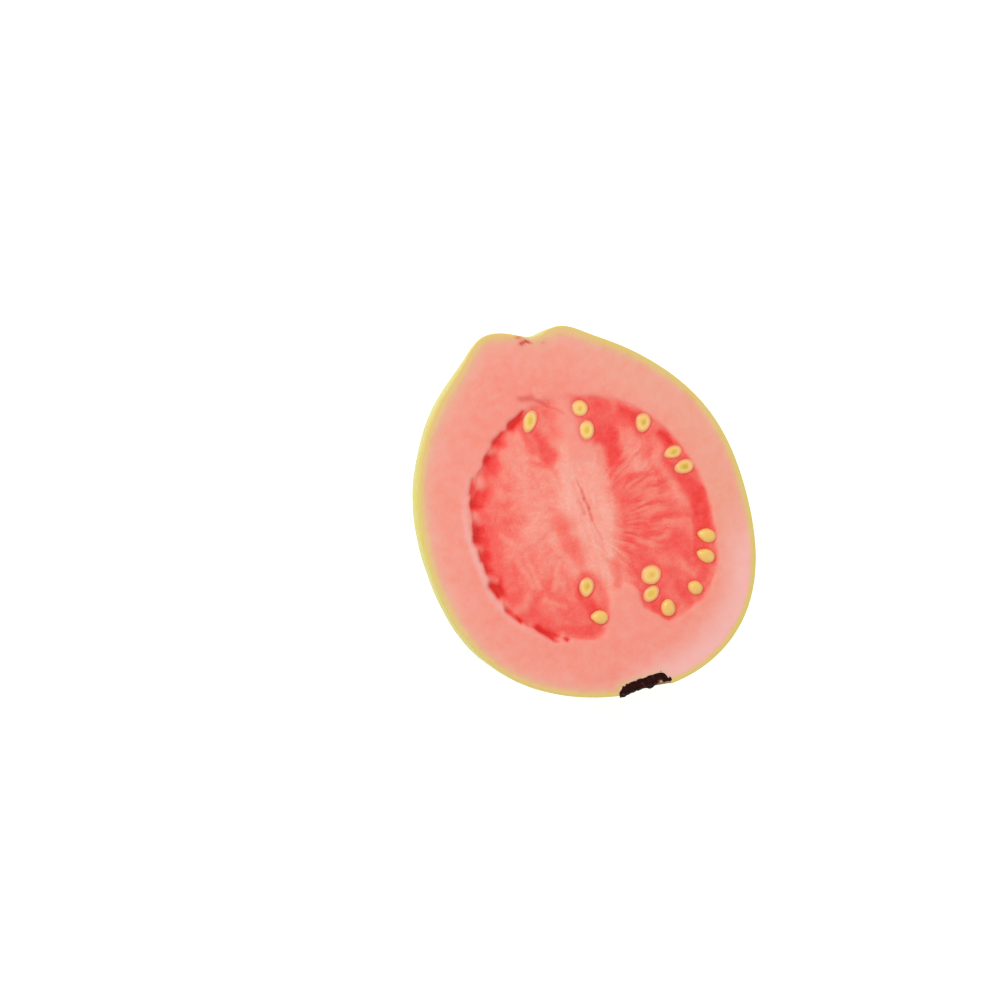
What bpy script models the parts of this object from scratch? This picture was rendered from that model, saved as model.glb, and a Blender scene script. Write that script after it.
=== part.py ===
"""Half of a ripe pink guava, cut through from its stem end to its blossom end.

The half lies on its skin with the cut face up. The origin is the middle of the small flat spot
that it rests on, +Z points out of the cut face and +Y points to the stem end. Skin, flesh, pulp
and seeds grew together, so they are one object. The dry calyx in the blossom end is the other.
All lengths are in metres.
"""

import math
from typing import NamedTuple

import bmesh
import bpy
from mathutils import Matrix, Vector

# The fruit. Its cut face is 86 mm long and 72 mm wide, and level.
CUT_HEIGHT = 0.036  # from the flat spot up to the cut face
FULL_DEPTH = 0.0367  # of the round skin below the cut face, before the flat spot takes its foot off
TAPER = 0.03  # how much deeper the blossom end is than the middle
OUTLINE_RADIUS = 0.03875
SKIN_SIDES = 80
SKIN_RINGS = 40

# The knife passed a little off the middle, so on its left the fruit is widest below the cut.
BULGE = 0.0016
BULGE_AT = math.radians(165)
BULGE_DOWN = 0.6  # share of the way down where it has died out
BULGE_PEAK = 6.75  # makes the greatest value of share * (1 - share) ** 2 equal to 1

# The knobbly shoulder on both sides of the stem's dip. On the left of the cut face it is higher,
# broader and further out than on the right, and it dies out under the stem.
STEM_X = 0.0018
SHOULDER_HEIGHT = 0.0021
SHOULDER_RADIUS = 0.0084
SHOULDER_BREADTH = 0.0051
HEIGHT_LEAN = 0.41
RADIUS_LEAN = 0.17
BREADTH_LEAN = 0.14
KNOBS = 3
KNOB_SHARE = 0.2
SHOULDER_LEFT_UNDER = 0.1  # share of its height that is left under the stem
STEM_DIP = 0.0011
STEM_DIP_BREADTH = 0.0032

# Low ridges that run down the skin from the stem.
RIDGE_HEIGHT = 0.0008
RIDGES = 7

# The pulp. It has shrunk a little below the flesh, most along its left edge.
PULP_CENTRE = Vector((0.0006, -0.0021))
PULP_RADIUS = 0.0271
PULP_SINK = 0.0004
PULP_EDGE_SINK = 0.0007  # more, at the left edge
PULP_SLOPE_FROM = 0.72  # share of the pulp's radius where the floor starts to fall to that edge
PULP_SIDES = 96
PULP_RINGS = 12
CLEAR = 0.001  # by which a cutter stands out of what it cuts

PIT_DEPTH = 0.0009
PIT_LENGTH = 1.2  # towards the pulp's centre, for each metre of width
PIT_SIDES = 10
PIT_RINGS = 6

# The seeds. They are harder than the pulp, so a cut one stands a little proud of the cut.
SEED_PROUD = 0.0001
SEED_THICKNESS = 0.0026
SEED_LEFT = 0.35  # share of its thickness between a cut seed's middle and its cut top
SEED_STANDS_UP = 0.0004  # how much higher than the cut ones the middle of a whole seed is
SEED_SIDES = 12
SEED_RINGS = 8

# The hollow in the blossom end, and the dry calyx that lines it.
HOLLOW_X = -0.0009
HOLLOW_FLOOR_Y = -0.0386
HOLLOW_FLOOR_RADIUS = 0.0052
HOLLOW_DEPTH = 0.0054
HOLLOW_FLARE = 0.3  # how much wider the hollow gets for each metre towards its mouth
HOLLOW_CORNER = 0.0011  # how far its floor rises to its wall in a round corner
HOLLOW_CORNER_FROM = 0.6  # share of the radius where that corner starts
HOLLOW_SIDES = 40
HOLLOW_RINGS = 12
GAP = 0.0003
CALYX_FLOOR = 0.0009
CALYX_RIM = 0.0023
CALYX_BOWL_FROM = 0.5  # share of the radius where the floor starts to rise to the rim
SEPALS = 5
SEPAL_HEIGHT = 0.0005
TORN_EDGES = 13
TORN_HEIGHT = 0.0002


class Wave(NamedTuple):
    """A slow wave round an outline: how many crests it has, how high they are, where one stands."""

    crests: int
    height: float
    crest_at: float


class Lump(NamedTuple):
    """A train of low lumps across the skin: the way it runs, its spacing, height and start."""

    heading: tuple[float, float, float]
    spacing: float
    height: float
    start: float


class Pit(NamedTuple):
    """A red pocket in the pulp's edge, by its clock angle and distance from the pulp's centre."""

    clock: float
    out: float
    width: float


class Seed(NamedTuple):
    """A seed: its place on the cut face, its size, where its tip points and how it was met."""

    x: float
    y: float
    length: float
    width: float
    tip_at: float
    taper: float
    cut: bool


OUTLINE_WAVES = (
    Wave(crests=1, height=0.0014, crest_at=math.radians(-127)),
    Wave(crests=2, height=0.0030, crest_at=math.radians(-81)),
    Wave(crests=3, height=0.0006, crest_at=math.radians(-33)),
    Wave(crests=4, height=0.0006, crest_at=math.radians(26)),
    Wave(crests=5, height=0.0003, crest_at=math.radians(14)),
)

LUMPS = (
    Lump((1.0, 0.4, 0.3), spacing=0.034, height=0.0004, start=0.9),
    Lump((-0.5, 1.0, 0.2), spacing=0.028, height=0.0003, start=2.1),
    Lump((0.2, 0.5, 1.0), spacing=0.024, height=0.0003, start=4.0),
)

PULP_WAVES = (
    Wave(crests=2, height=0.0011, crest_at=math.radians(-62)),
    Wave(crests=3, height=0.0008, crest_at=math.radians(-41)),
    Wave(crests=4, height=0.0006, crest_at=math.radians(41)),
)

PITS = (
    Pit(107, 0.0272, 0.0030),
    Pit(120, 0.0268, 0.0036),
    Pit(130, 0.0260, 0.0034),
    Pit(138, 0.0256, 0.0026),
    Pit(146, 0.0270, 0.0024),
    Pit(153, 0.0262, 0.0034),
    Pit(168, 0.0254, 0.0038),
    Pit(177, 0.0250, 0.0032),
    Pit(186, 0.0254, 0.0028),
    Pit(196, 0.0256, 0.0038),
    Pit(210, 0.0266, 0.0030),
    Pit(228, 0.0262, 0.0036),
    Pit(237, 0.0266, 0.0026),
    Pit(29, 0.0240, 0.0030),
    Pit(51, 0.0244, 0.0030),
)

SEEDS = (
    Seed(-0.0050, 0.0229, 0.0054, 0.0032, 233, 0.10, True),
    Seed(0.0063, 0.0218, 0.0039, 0.0037, 130, 0.00, True),
    Seed(0.0061, 0.0168, 0.0046, 0.0037, 250, 0.10, True),
    Seed(0.0184, 0.0141, 0.0046, 0.0036, 240, 0.15, True),
    Seed(0.0224, 0.0057, 0.0044, 0.0031, 180, 0.30, True),
    Seed(0.0237, 0.0019, 0.0047, 0.0034, 180, 0.10, True),
    Seed(0.0232, -0.0140, 0.0042, 0.0033, 145, 0.35, False),
    Seed(0.0215, -0.0181, 0.0042, 0.0032, 140, 0.35, False),
    Seed(0.0087, -0.0179, 0.0048, 0.0045, 200, 0.05, True),
    Seed(0.0073, -0.0218, 0.0043, 0.0033, 25, 0.15, True),
    Seed(0.0098, -0.0260, 0.0038, 0.0034, 70, 0.15, False),
    Seed(0.0169, -0.0239, 0.0035, 0.0031, 130, 0.15, False),
    Seed(-0.0056, -0.0155, 0.0046, 0.0036, 240, 0.25, True),
    Seed(-0.0052, -0.0227, 0.0039, 0.0032, 155, 0.25, False),
)


def smooth_step(low, high, value):
    """0 below low, 1 above high and a soft ramp between them."""
    share = min(1.0, max(0.0, (value - low) / (high - low)))
    return share * share * (3 - 2 * share)


def waved_radius(radius, waves, angle):
    """The radius of a circle with slow waves on it, at this angle."""
    return radius + sum(wave.height * math.cos(wave.crests * (angle - wave.crest_at)) for wave in waves)


def side_bulge(angle, down):
    """How much further out the skin stands below the cut, at this share of the way down."""
    leftness = (0.5 + 0.5 * math.cos(angle - BULGE_AT)) ** 2
    share = min(1.0, max(0.0, down / BULGE_DOWN))
    return BULGE * leftness * BULGE_PEAK * share * (1 - share) ** 2


def round_skin(direction):
    """The skin in this direction from the middle of the cut face, before its swells and lumps."""
    angle = math.atan2(direction.y, direction.x)
    reach = waved_radius(OUTLINE_RADIUS, OUTLINE_WAVES, angle) + side_bulge(angle, -direction.z)
    depth = FULL_DEPTH * (1 - TAPER * direction.y)
    return Vector((reach * direction.x, reach * direction.y, depth * direction.z))


def bell(share):
    """1 in the middle, falling off to 0 all round."""
    return math.exp(-share * share)


def stem_lift(point):
    """How far the shoulder lifts the skin round the stem, less the dip in its middle."""
    if point.y <= 0:
        return 0.0
    away = math.hypot(point.x - STEM_X, point.z)
    around = math.atan2(point.z, point.x - STEM_X)
    side = math.cos(around)
    knobs = 1 + KNOB_SHARE * math.sin(KNOBS * around)
    fade = SHOULDER_LEFT_UNDER + (1 - SHOULDER_LEFT_UNDER) * side * side
    height = SHOULDER_HEIGHT * (1 - HEIGHT_LEAN * side) * knobs * fade
    radius = SHOULDER_RADIUS * (1 - RADIUS_LEAN * side)
    breadth = SHOULDER_BREADTH * (1 - BREADTH_LEAN * side)
    return height * bell((away - radius) / breadth) - STEM_DIP * bell(away / STEM_DIP_BREADTH)


def lump_lift(point, direction):
    """How far the lumps and ridges lift the skin here. They die out towards the cut."""
    lift = 0.0
    for lump in LUMPS:
        along = point.dot(Vector(lump.heading).normalized()) / lump.spacing
        lift += lump.height * math.sin(math.tau * along + lump.start)
    round_stem = math.atan2(direction.z, direction.x)
    ridge = math.cos(RIDGES * round_stem) * abs(direction.y) * math.hypot(direction.x, direction.z)
    return -direction.z * (lift + RIDGE_HEIGHT * ridge)


def skin_point(direction):
    """Where a point of a unit ball goes to lie on the fruit's skin."""
    point = round_skin(direction)
    point += (stem_lift(point) + lump_lift(point, direction)) * direction
    point.z += CUT_HEIGHT
    return point


def pulp_floor(clock, share):
    """How deep the pulp lies under the cut face, at this share of its radius."""
    leftness = 0.5 - 0.5 * math.cos(clock)
    return PULP_SINK + PULP_EDGE_SINK * leftness * smooth_step(PULP_SLOPE_FROM, 1.0, share)


def on_pulp(clock, out, height):
    """A point by its clock angle and distance from the pulp's centre."""
    return Vector((PULP_CENTRE.x + out * math.cos(clock), PULP_CENTRE.y + out * math.sin(clock), height))


def pulp_point(direction):
    """Where a point of a unit ball goes to lie on the cutter that sinks the pulp."""
    clock = math.atan2(direction.y, direction.x)
    level = math.asin(max(-1.0, min(1.0, direction.z)))
    ring = math.pi / PULP_RINGS
    edge = waved_radius(PULP_RADIUS, PULP_WAVES, clock)
    if level > ring / 2:
        share = (math.pi / 2 - level) / (math.pi / 2 - ring)
        return on_pulp(clock, edge * share, CUT_HEIGHT + CLEAR)
    share = (math.pi / 2 + level) / (math.pi / 2)
    return on_pulp(clock, edge * share, CUT_HEIGHT - pulp_floor(clock, share))


def make_material(name, colour, roughness):
    """A plain finish of one colour, given as red, green and blue in linear light."""
    material = bpy.data.materials.new(name)
    material.use_nodes = True
    shader = material.node_tree.nodes["Principled BSDF"]
    shader.inputs["Base Color"].default_value = (*colour, 1.0)
    shader.inputs["Roughness"].default_value = roughness
    shader.inputs["Metallic"].default_value = 0.0
    return material


def make_ball(name, sides, rings, place, materials, collection):
    """A UV sphere of radius 1 with every point moved by place, as an object."""
    shape = bmesh.new()
    bmesh.ops.create_uvsphere(shape, u_segments=sides, v_segments=rings, radius=1.0)
    for vertex in shape.verts:
        vertex.co = place(vertex.co.copy())
    return make_object(name, shape, materials, collection)


def make_object(name, shape, materials, collection):
    """Makes an object of the shape, with its faces pointing out, and frees the shape."""
    shape.normal_update()
    bmesh.ops.recalc_face_normals(shape, faces=shape.faces)
    mesh = bpy.data.meshes.new(name)
    shape.to_mesh(mesh)
    shape.free()
    for material in materials:
        mesh.materials.append(material)
    made = bpy.data.objects.new(name, mesh)
    collection.objects.link(made)
    return made


def slice_off(shape, height, side):
    """Slices off what is above this height, or below it for a side of -1. Returns the new face."""
    everything = shape.verts[:] + shape.edges[:] + shape.faces[:]
    cut = bmesh.ops.bisect_plane(
        shape, geom=everything, plane_co=(0, 0, height), plane_no=(0, 0, side), clear_outer=True
    )
    edges = [part for part in cut["geom_cut"] if isinstance(part, bmesh.types.BMEdge)]
    return bmesh.ops.contextual_create(shape, geom=edges)["faces"]


def apply_boolean(target, operation, tools, scene):
    """Cuts the tools from the target or joins them to it, and removes them."""
    group = bpy.data.collections.new(operation.lower())
    scene.collection.children.link(group)
    for tool in tools:
        group.objects.link(tool)
    boolean = target.modifiers.new(operation.lower(), "BOOLEAN")
    boolean.operation = operation
    boolean.operand_type = "COLLECTION"
    boolean.collection = group
    boolean.solver = "EXACT"
    boolean.material_mode = "TRANSFER"
    bpy.context.view_layer.objects.active = target
    bpy.ops.object.modifier_apply(modifier=boolean.name)
    for tool in tools:
        bpy.data.objects.remove(tool)
    bpy.data.collections.remove(group)


def shade_round(made, sharpest):
    """Shades the object smooth, with its sharper edges kept."""
    made.data.shade_smooth()
    made.data.set_sharp_from_angle(angle=sharpest)


def make_fruit_body(skin, flesh, collection):
    """The half fruit with a flat, full cut face and the flat spot that it rests on."""
    shape = bmesh.new()
    bmesh.ops.create_uvsphere(shape, u_segments=SKIN_SIDES, v_segments=SKIN_RINGS, radius=1.0)
    for face in slice_off(shape, 0.0, 1):
        face.material_index = 1
    for vertex in shape.verts:
        vertex.co = skin_point(vertex.co.copy())
    slice_off(shape, 0.0, -1)
    return make_object("guava_half", shape, (skin, flesh), collection)


def make_pulp_cutter(pulp, collection):
    """The shallow hollow that the pulp has shrunk into."""
    return make_ball("pulp_cutter", PULP_SIDES, PULP_RINGS, pulp_point, (pulp,), collection)


def make_pit_cutter(pit, pulp, collection):
    """One red pocket in the edge of the pulp, longer towards the centre than it is wide."""
    clock = math.radians(pit.clock)
    turn = Matrix.Rotation(clock, 3, "Z")
    floor = CUT_HEIGHT - pulp_floor(clock, 1.0)
    size = Vector((0.5 * PIT_LENGTH * pit.width, 0.5 * pit.width, PIT_DEPTH))
    centre = on_pulp(clock, pit.out, floor)
    return make_ball(
        "pit_cutter", PIT_SIDES, PIT_RINGS, lambda spot: centre + turn @ (spot * size), (pulp,), collection
    )


def make_seed(seed, finish, collection):
    """One seed, a flattened drop sunk well into the pulp. A cut seed has a flat top."""
    turn = Matrix.Rotation(math.radians(seed.tip_at), 3, "Z")
    top = CUT_HEIGHT + SEED_PROUD
    middle = Vector((seed.x, seed.y, top - SEED_LEFT * SEED_THICKNESS))
    if not seed.cut:
        middle.z += SEED_STANDS_UP

    def place(spot):
        narrowing = 1 - seed.taper * (0.5 + 0.5 * spot.x) ** 2
        size = Vector((0.5 * seed.length, 0.5 * seed.width * narrowing, 0.5 * SEED_THICKNESS))
        point = middle + turn @ (spot * size)
        if seed.cut:
            point.z = min(point.z, top)
        return point

    return make_ball("seed", SEED_SIDES, SEED_RINGS, place, (finish,), collection)


def hollow_corner(share):
    """How far the hollow's floor has risen at this share of its radius."""
    past = max(0.0, (share - HOLLOW_CORNER_FROM) / (1 - HOLLOW_CORNER_FROM))
    return HOLLOW_CORNER * (1 - math.sqrt(1 - past * past))


def in_hollow(around, radius, out):
    """A point by its angle round the hollow's axis, its distance from it and its way out."""
    return Vector(
        (
            HOLLOW_X + radius * math.cos(around),
            HOLLOW_FLOOR_Y - out,
            CUT_HEIGHT + radius * math.sin(around),
        )
    )


def cup_point(direction, inset, top):
    """Where a point of a unit ball goes to lie on a cup that lines the hollow.

    The ball's pole points outwards. inset keeps the cup clear of the hollow, and top gives its
    outer surface by the share of the radius and the angle round the axis.
    """
    polar = math.acos(max(-1.0, min(1.0, direction.z)))
    around = math.atan2(direction.y, direction.x)
    ring = math.pi / HOLLOW_RINGS
    foot = HOLLOW_FLOOR_RADIUS - inset
    if polar > math.pi / 2 - ring / 2:
        share = min(1.0, (math.pi - polar) / (math.pi / 2))
        return in_hollow(around, share * foot, inset + hollow_corner(share))
    share = polar / (math.pi / 2 - ring)
    out = top(share, around)
    return in_hollow(around, share * (foot + HOLLOW_FLARE * (out - HOLLOW_CORNER)), inset + out)


def hollow_top(_share, _around):
    """The cutter's flat outer end, well outside the fruit."""
    return HOLLOW_DEPTH


def calyx_top(share, around):
    """The calyx's outer surface: a low bowl whose rim is five sepals with a torn edge."""
    rim = CALYX_RIM + SEPAL_HEIGHT * math.cos(SEPALS * around) + TORN_HEIGHT * math.cos(TORN_EDGES * around)
    return CALYX_FLOOR + (rim - CALYX_FLOOR) * smooth_step(CALYX_BOWL_FROM, 1.0, share)


def make_hollow_cutter(skin, collection):
    """The round hollow in the blossom end, which opens outwards."""
    return make_ball(
        "hollow_cutter",
        HOLLOW_SIDES,
        HOLLOW_RINGS,
        lambda direction: cup_point(direction, 0.0, hollow_top),
        (skin,),
        collection,
    )


def make_calyx(finish, collection):
    """The dry calyx, cut through with the fruit."""
    shape = bmesh.new()
    bmesh.ops.create_uvsphere(shape, u_segments=HOLLOW_SIDES, v_segments=HOLLOW_RINGS, radius=1.0)
    for vertex in shape.verts:
        vertex.co = cup_point(vertex.co.copy(), GAP, calyx_top)
    slice_off(shape, CUT_HEIGHT, 1)
    return make_object("calyx", shape, (finish,), collection)


def main():
    """Clears the scene and builds the half guava."""
    for old in list(bpy.data.objects):
        bpy.data.objects.remove(old)
    scene = bpy.context.scene
    guava = bpy.data.collections.new("guava")
    scene.collection.children.link(guava)

    skin = make_material("guava_skin", (0.50, 0.58, 0.03), 0.45)
    flesh = make_material("guava_flesh", (0.93, 0.34, 0.25), 0.40)
    pulp = make_material("guava_pulp", (0.90, 0.12, 0.10), 0.30)
    seed_coat = make_material("guava_seed", (0.86, 0.58, 0.18), 0.40)
    dry_calyx = make_material("guava_calyx", (0.03, 0.008, 0.006), 0.80)

    fruit = make_fruit_body(skin, flesh, guava)
    helpers = scene.collection
    apply_boolean(fruit, "DIFFERENCE", [make_pulp_cutter(pulp, helpers)], scene)
    apply_boolean(fruit, "DIFFERENCE", [make_pit_cutter(pit, pulp, helpers) for pit in PITS], scene)
    apply_boolean(fruit, "DIFFERENCE", [make_hollow_cutter(skin, helpers)], scene)
    apply_boolean(fruit, "UNION", [make_seed(seed, seed_coat, helpers) for seed in SEEDS], scene)
    shade_round(fruit, math.radians(40))

    calyx = make_calyx(dry_calyx, guava)
    shade_round(calyx, math.radians(40))


main()
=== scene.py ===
"""The looks of a halved pink guava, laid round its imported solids.

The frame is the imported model's: metres, the origin on the flat spot that the half rests on, +Z out
of the cut face and +Y to the stem end. Marks on the cut face are given in millimetres of that face.
"""

from __future__ import annotations

import itertools
import logging
import math
from dataclasses import dataclass
from enum import Enum
from typing import Any, ClassVar

import bpy
import numpy as np
from mathutils import Matrix, Vector


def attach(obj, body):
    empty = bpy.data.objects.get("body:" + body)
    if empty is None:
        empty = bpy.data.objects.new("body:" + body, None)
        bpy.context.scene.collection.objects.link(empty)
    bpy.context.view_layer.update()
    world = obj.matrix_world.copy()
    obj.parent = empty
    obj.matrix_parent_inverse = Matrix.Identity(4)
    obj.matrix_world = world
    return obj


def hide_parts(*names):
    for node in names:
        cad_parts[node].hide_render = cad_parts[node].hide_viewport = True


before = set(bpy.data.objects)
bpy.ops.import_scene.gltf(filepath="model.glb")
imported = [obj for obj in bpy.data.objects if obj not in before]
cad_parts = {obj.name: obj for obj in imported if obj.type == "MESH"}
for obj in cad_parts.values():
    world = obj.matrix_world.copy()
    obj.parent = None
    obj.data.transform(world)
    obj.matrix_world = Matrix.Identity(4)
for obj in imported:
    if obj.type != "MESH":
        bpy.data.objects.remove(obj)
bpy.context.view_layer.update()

log = logging.getLogger("guava_half")

MM = 0.001


class Side(Enum):
    """The finish that a face of the half fruit takes, by its place in the material list."""

    SKIN = 0
    CUT = 1


def soft_step(low: float, high: float, value: np.ndarray) -> np.ndarray:
    """A soft ramp.

    Args:
        low: The value up to which the ramp is 0.
        high: The value from which it is 1.
        value: Where to read it.

    Returns:
        The ramp at each value.
    """
    share = np.clip((value - low) / (high - low), 0.0, 1.0)
    return share * share * (3.0 - 2.0 * share)


def bell(share: np.ndarray) -> np.ndarray:
    """Returns 1 in the middle, falling off to 0 all round."""
    return np.exp(-share * share)


def toward(value: np.ndarray, target: float | np.ndarray, cover: np.ndarray) -> np.ndarray:
    """Returns the value moved to the target by the cover, as one coat of paint over another."""
    return value + (target - value) * cover


class Grain:
    """Smooth noise from a seeded lattice, the same on every run."""

    CELLS = 32

    def __init__(self, seed: int) -> None:
        """Fills the lattice.

        Args:
            seed: The number that fixes the pattern.
        """
        self.lattice = np.random.default_rng(seed).uniform(-1.0, 1.0, (self.CELLS,) * 3)

    def at(self, place: np.ndarray, size: float | tuple[float, float, float]) -> np.ndarray:
        """Reads the noise.

        Args:
            place: Points as rows of x, y and z.
            size: The width of one lump, or its size along each axis, in the unit of place.

        Returns:
            The noise at each point, from -1 to 1.
        """
        spot = place / np.asarray(size) + 0.37
        low = np.floor(spot).astype(int)
        share = spot - low
        share = share * share * (3.0 - 2.0 * share)
        total = np.zeros(len(place))
        for corner in itertools.product((0, 1), repeat=3):
            weight = np.prod(np.where(np.array(corner) == 1, share, 1.0 - share), axis=1)
            cell = (low + corner) % self.CELLS
            total += weight * self.lattice[cell[:, 0], cell[:, 1], cell[:, 2]]
        return total


@dataclass(frozen=True)
class Wave:
    """A slow wave round an outline: how many crests, how high in metres, and where one stands."""

    crests: int
    height: float
    crest_at: float


@dataclass(frozen=True)
class Lump:
    """A train of low lumps across the skin: the way it runs, its spacing, height and start."""

    heading: tuple[float, float, float]
    spacing: float
    height: float
    start: float


def waved(radius: float, waves: tuple[Wave, ...], angle: np.ndarray) -> np.ndarray:
    """Works out the radius of a circle with slow waves on it.

    Args:
        radius: The plain radius.
        waves: The waves.
        angle: Where to read it, in radians.

    Returns:
        The radius at each angle.
    """
    total = np.full_like(angle, radius)
    for wave in waves:
        total += wave.height * np.cos(wave.crests * (angle - math.radians(wave.crest_at)))
    return total


@dataclass(frozen=True)
class Form:
    """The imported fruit's form by the same formulas, in metres, with a slimmer left side."""

    cut_height: float = 0.036
    full_depth: float = 0.0367
    taper: float = 0.03
    outline_radius: float = 0.03875
    bulge: float = 0.0011
    bulge_at: float = 165.0
    bulge_down: float = 0.6
    bulge_peak: float = 6.75
    outline_waves: tuple[Wave, ...] = (
        Wave(1, 0.0014, -127),
        Wave(2, 0.0030, -81),
        Wave(3, 0.0006, -33),
        Wave(4, 0.0006, 26),
        Wave(5, 0.0003, 14),
    )
    stem_x: float = 0.0018
    shoulder_height: float = 0.0021
    shoulder_radius: float = 0.0084
    shoulder_breadth: float = 0.0051
    height_lean: float = 0.41
    radius_lean: float = 0.17
    breadth_lean: float = 0.14
    knobs: int = 3
    knob_share: float = 0.2
    shoulder_left_under: float = 0.1
    stem_dip: float = 0.0011
    stem_dip_breadth: float = 0.0032
    lumps: tuple[Lump, ...] = (
        Lump((1.0, 0.4, 0.3), 0.034, 0.0004, 0.9),
        Lump((-0.5, 1.0, 0.2), 0.028, 0.0003, 2.1),
        Lump((0.2, 0.5, 1.0), 0.024, 0.0003, 4.0),
    )
    ridges: int = 7
    ridge_height: float = 0.0008

    def stem_lift(self, point: np.ndarray) -> np.ndarray:
        """Works out the shoulder round the stem, less the dip in its middle.

        Args:
            point: Points on the round skin, with the cut face at z of 0.

        Returns:
            How far each point is lifted.
        """
        from_stem = point[:, 0] - self.stem_x
        away = np.hypot(from_stem, point[:, 2])
        around = np.arctan2(point[:, 2], from_stem)
        side = np.cos(around)
        height = self.shoulder_height * (1 - self.height_lean * side)
        height *= 1 + self.knob_share * np.sin(self.knobs * around)
        height *= self.shoulder_left_under + (1 - self.shoulder_left_under) * side * side
        radius = self.shoulder_radius * (1 - self.radius_lean * side)
        breadth = self.shoulder_breadth * (1 - self.breadth_lean * side)
        lift = height * bell((away - radius) / breadth) - self.stem_dip * bell(away / self.stem_dip_breadth)
        return np.where(point[:, 1] > 0, lift, 0.0)

    def lump_lift(self, point: np.ndarray, direction: np.ndarray) -> np.ndarray:
        """Works out the lumps and ridges of the skin, which die out towards the cut.

        Args:
            point: Points on the round skin.
            direction: The way to each from the middle of the cut face.

        Returns:
            How far each point is lifted.
        """
        lift = np.zeros(len(point))
        for lump in self.lumps:
            along = point @ np.array(Vector(lump.heading).normalized()) / lump.spacing
            lift += lump.height * np.sin(math.tau * along + lump.start)
        ridge = np.cos(self.ridges * np.arctan2(direction[:, 2], direction[:, 0]))
        ridge *= np.abs(direction[:, 1]) * np.hypot(direction[:, 0], direction[:, 2])
        return -direction[:, 2] * (lift + self.ridge_height * ridge)

    def side_bulge(self, angle: np.ndarray, down: np.ndarray) -> np.ndarray:
        """Works out how much further out the skin stands below the cut, on its left.

        Args:
            angle: The angle round the middle of the cut face.
            down: The share of the way down.

        Returns:
            How far out each point moves.
        """
        leftness = (0.5 + 0.5 * np.cos(angle - math.radians(self.bulge_at))) ** 2
        share = np.clip(down / self.bulge_down, 0.0, 1.0)
        return self.bulge * leftness * self.bulge_peak * share * (1 - share) ** 2

    def skin(self, direction: np.ndarray) -> np.ndarray:
        """Places points on the skin.

        Args:
            direction: Unit vectors from the middle of the cut face, as rows.

        Returns:
            The points of the skin, as rows.
        """
        angle = np.arctan2(direction[:, 1], direction[:, 0])
        reach = waved(self.outline_radius, self.outline_waves, angle)
        reach = reach + self.side_bulge(angle, -direction[:, 2])
        depth = self.full_depth * (1 - self.taper * direction[:, 1])
        point = direction * np.stack((reach, reach, depth), axis=1)
        lift = self.stem_lift(point) + self.lump_lift(point, direction)
        point = point + lift[:, None] * direction
        point[:, 2] += self.cut_height
        return point

    def outline(self, angle: np.ndarray) -> np.ndarray:
        """Returns the radius of the cut face's outline at each angle round its middle."""
        flat = np.stack((np.cos(angle), np.sin(angle), np.zeros_like(angle)), axis=1)
        edge = self.skin(flat)
        return np.hypot(edge[:, 0], edge[:, 1])


@dataclass(frozen=True)
class Hollow:
    """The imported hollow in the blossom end, which the dry calyx lines, in metres."""

    x: float = -0.0009
    floor_y: float = -0.0386
    floor_radius: float = 0.0052
    depth: float = 0.0054
    flare: float = 0.3
    corner: float = 0.0011
    corner_from: float = 0.6

    def corner_rise(self, share: np.ndarray) -> np.ndarray:
        """Returns how far the floor has risen at this share of its radius."""
        past = np.clip((share - self.corner_from) / (1 - self.corner_from), 0.0, 1.0)
        return self.corner * (1 - np.sqrt(1 - past * past))

    def spot(self, around: np.ndarray, radius: np.ndarray, out: np.ndarray) -> np.ndarray:
        """Places points by the hollow's own axis.

        Args:
            around: The angle round the axis.
            radius: The distance from it.
            out: The way out of the fruit from the hollow's floor.

        Returns:
            The points, as rows.
        """
        return np.stack(
            (
                self.x + radius * np.cos(around),
                self.floor_y - out,
                FORM.cut_height + radius * np.sin(around),
            ),
            axis=1,
        )

    def away_from(self, x: np.ndarray, y: np.ndarray) -> np.ndarray:
        """Works out how far places on the cut face are from the hollow's section.

        Args:
            x: Metres across the face.
            y: Metres along it.

        Returns:
            The distance of each, 0 inside the hollow.
        """
        wall = self.floor_radius + self.flare * np.clip(self.floor_y - y, 0.0, self.depth)
        aside = np.clip(np.abs(x - self.x) - wall, 0.0, None)
        inward = np.clip(y - self.floor_y, 0.0, None)
        return np.hypot(aside, inward)


FORM = Form()
HOLLOW = Hollow()


@dataclass(frozen=True)
class Stroke:
    """One soft stroke on the cut face, in its millimetres, round at the ends and tapering.

    The tone is how deep a red it brings, and the sink is how far it lowers the pulp.
    """

    start: tuple[float, float]
    end: tuple[float, float]
    widths: tuple[float, float]
    tone: float
    edge: float
    sink: float

    def cover(self, x: np.ndarray, y: np.ndarray, spread: float = 1.0) -> np.ndarray:
        """Works out how far the stroke covers each place.

        Args:
            x: Millimetres across the face.
            y: Millimetres along it.
            spread: How many times softer than its own edge to draw it.

        Returns:
            1 inside the stroke, 0 outside.
        """
        run_x = self.end[0] - self.start[0]
        run_y = self.end[1] - self.start[1]
        length = max(run_x * run_x + run_y * run_y, 1e-9)
        along = np.clip(((x - self.start[0]) * run_x + (y - self.start[1]) * run_y) / length, 0.0, 1.0)
        away = np.hypot(x - self.start[0] - along * run_x, y - self.start[1] - along * run_y)
        radius = 0.5 * (self.widths[0] + (self.widths[1] - self.widths[0]) * along)
        edge = self.edge * spread
        return 1.0 - soft_step(-edge, edge, away - radius)


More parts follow.
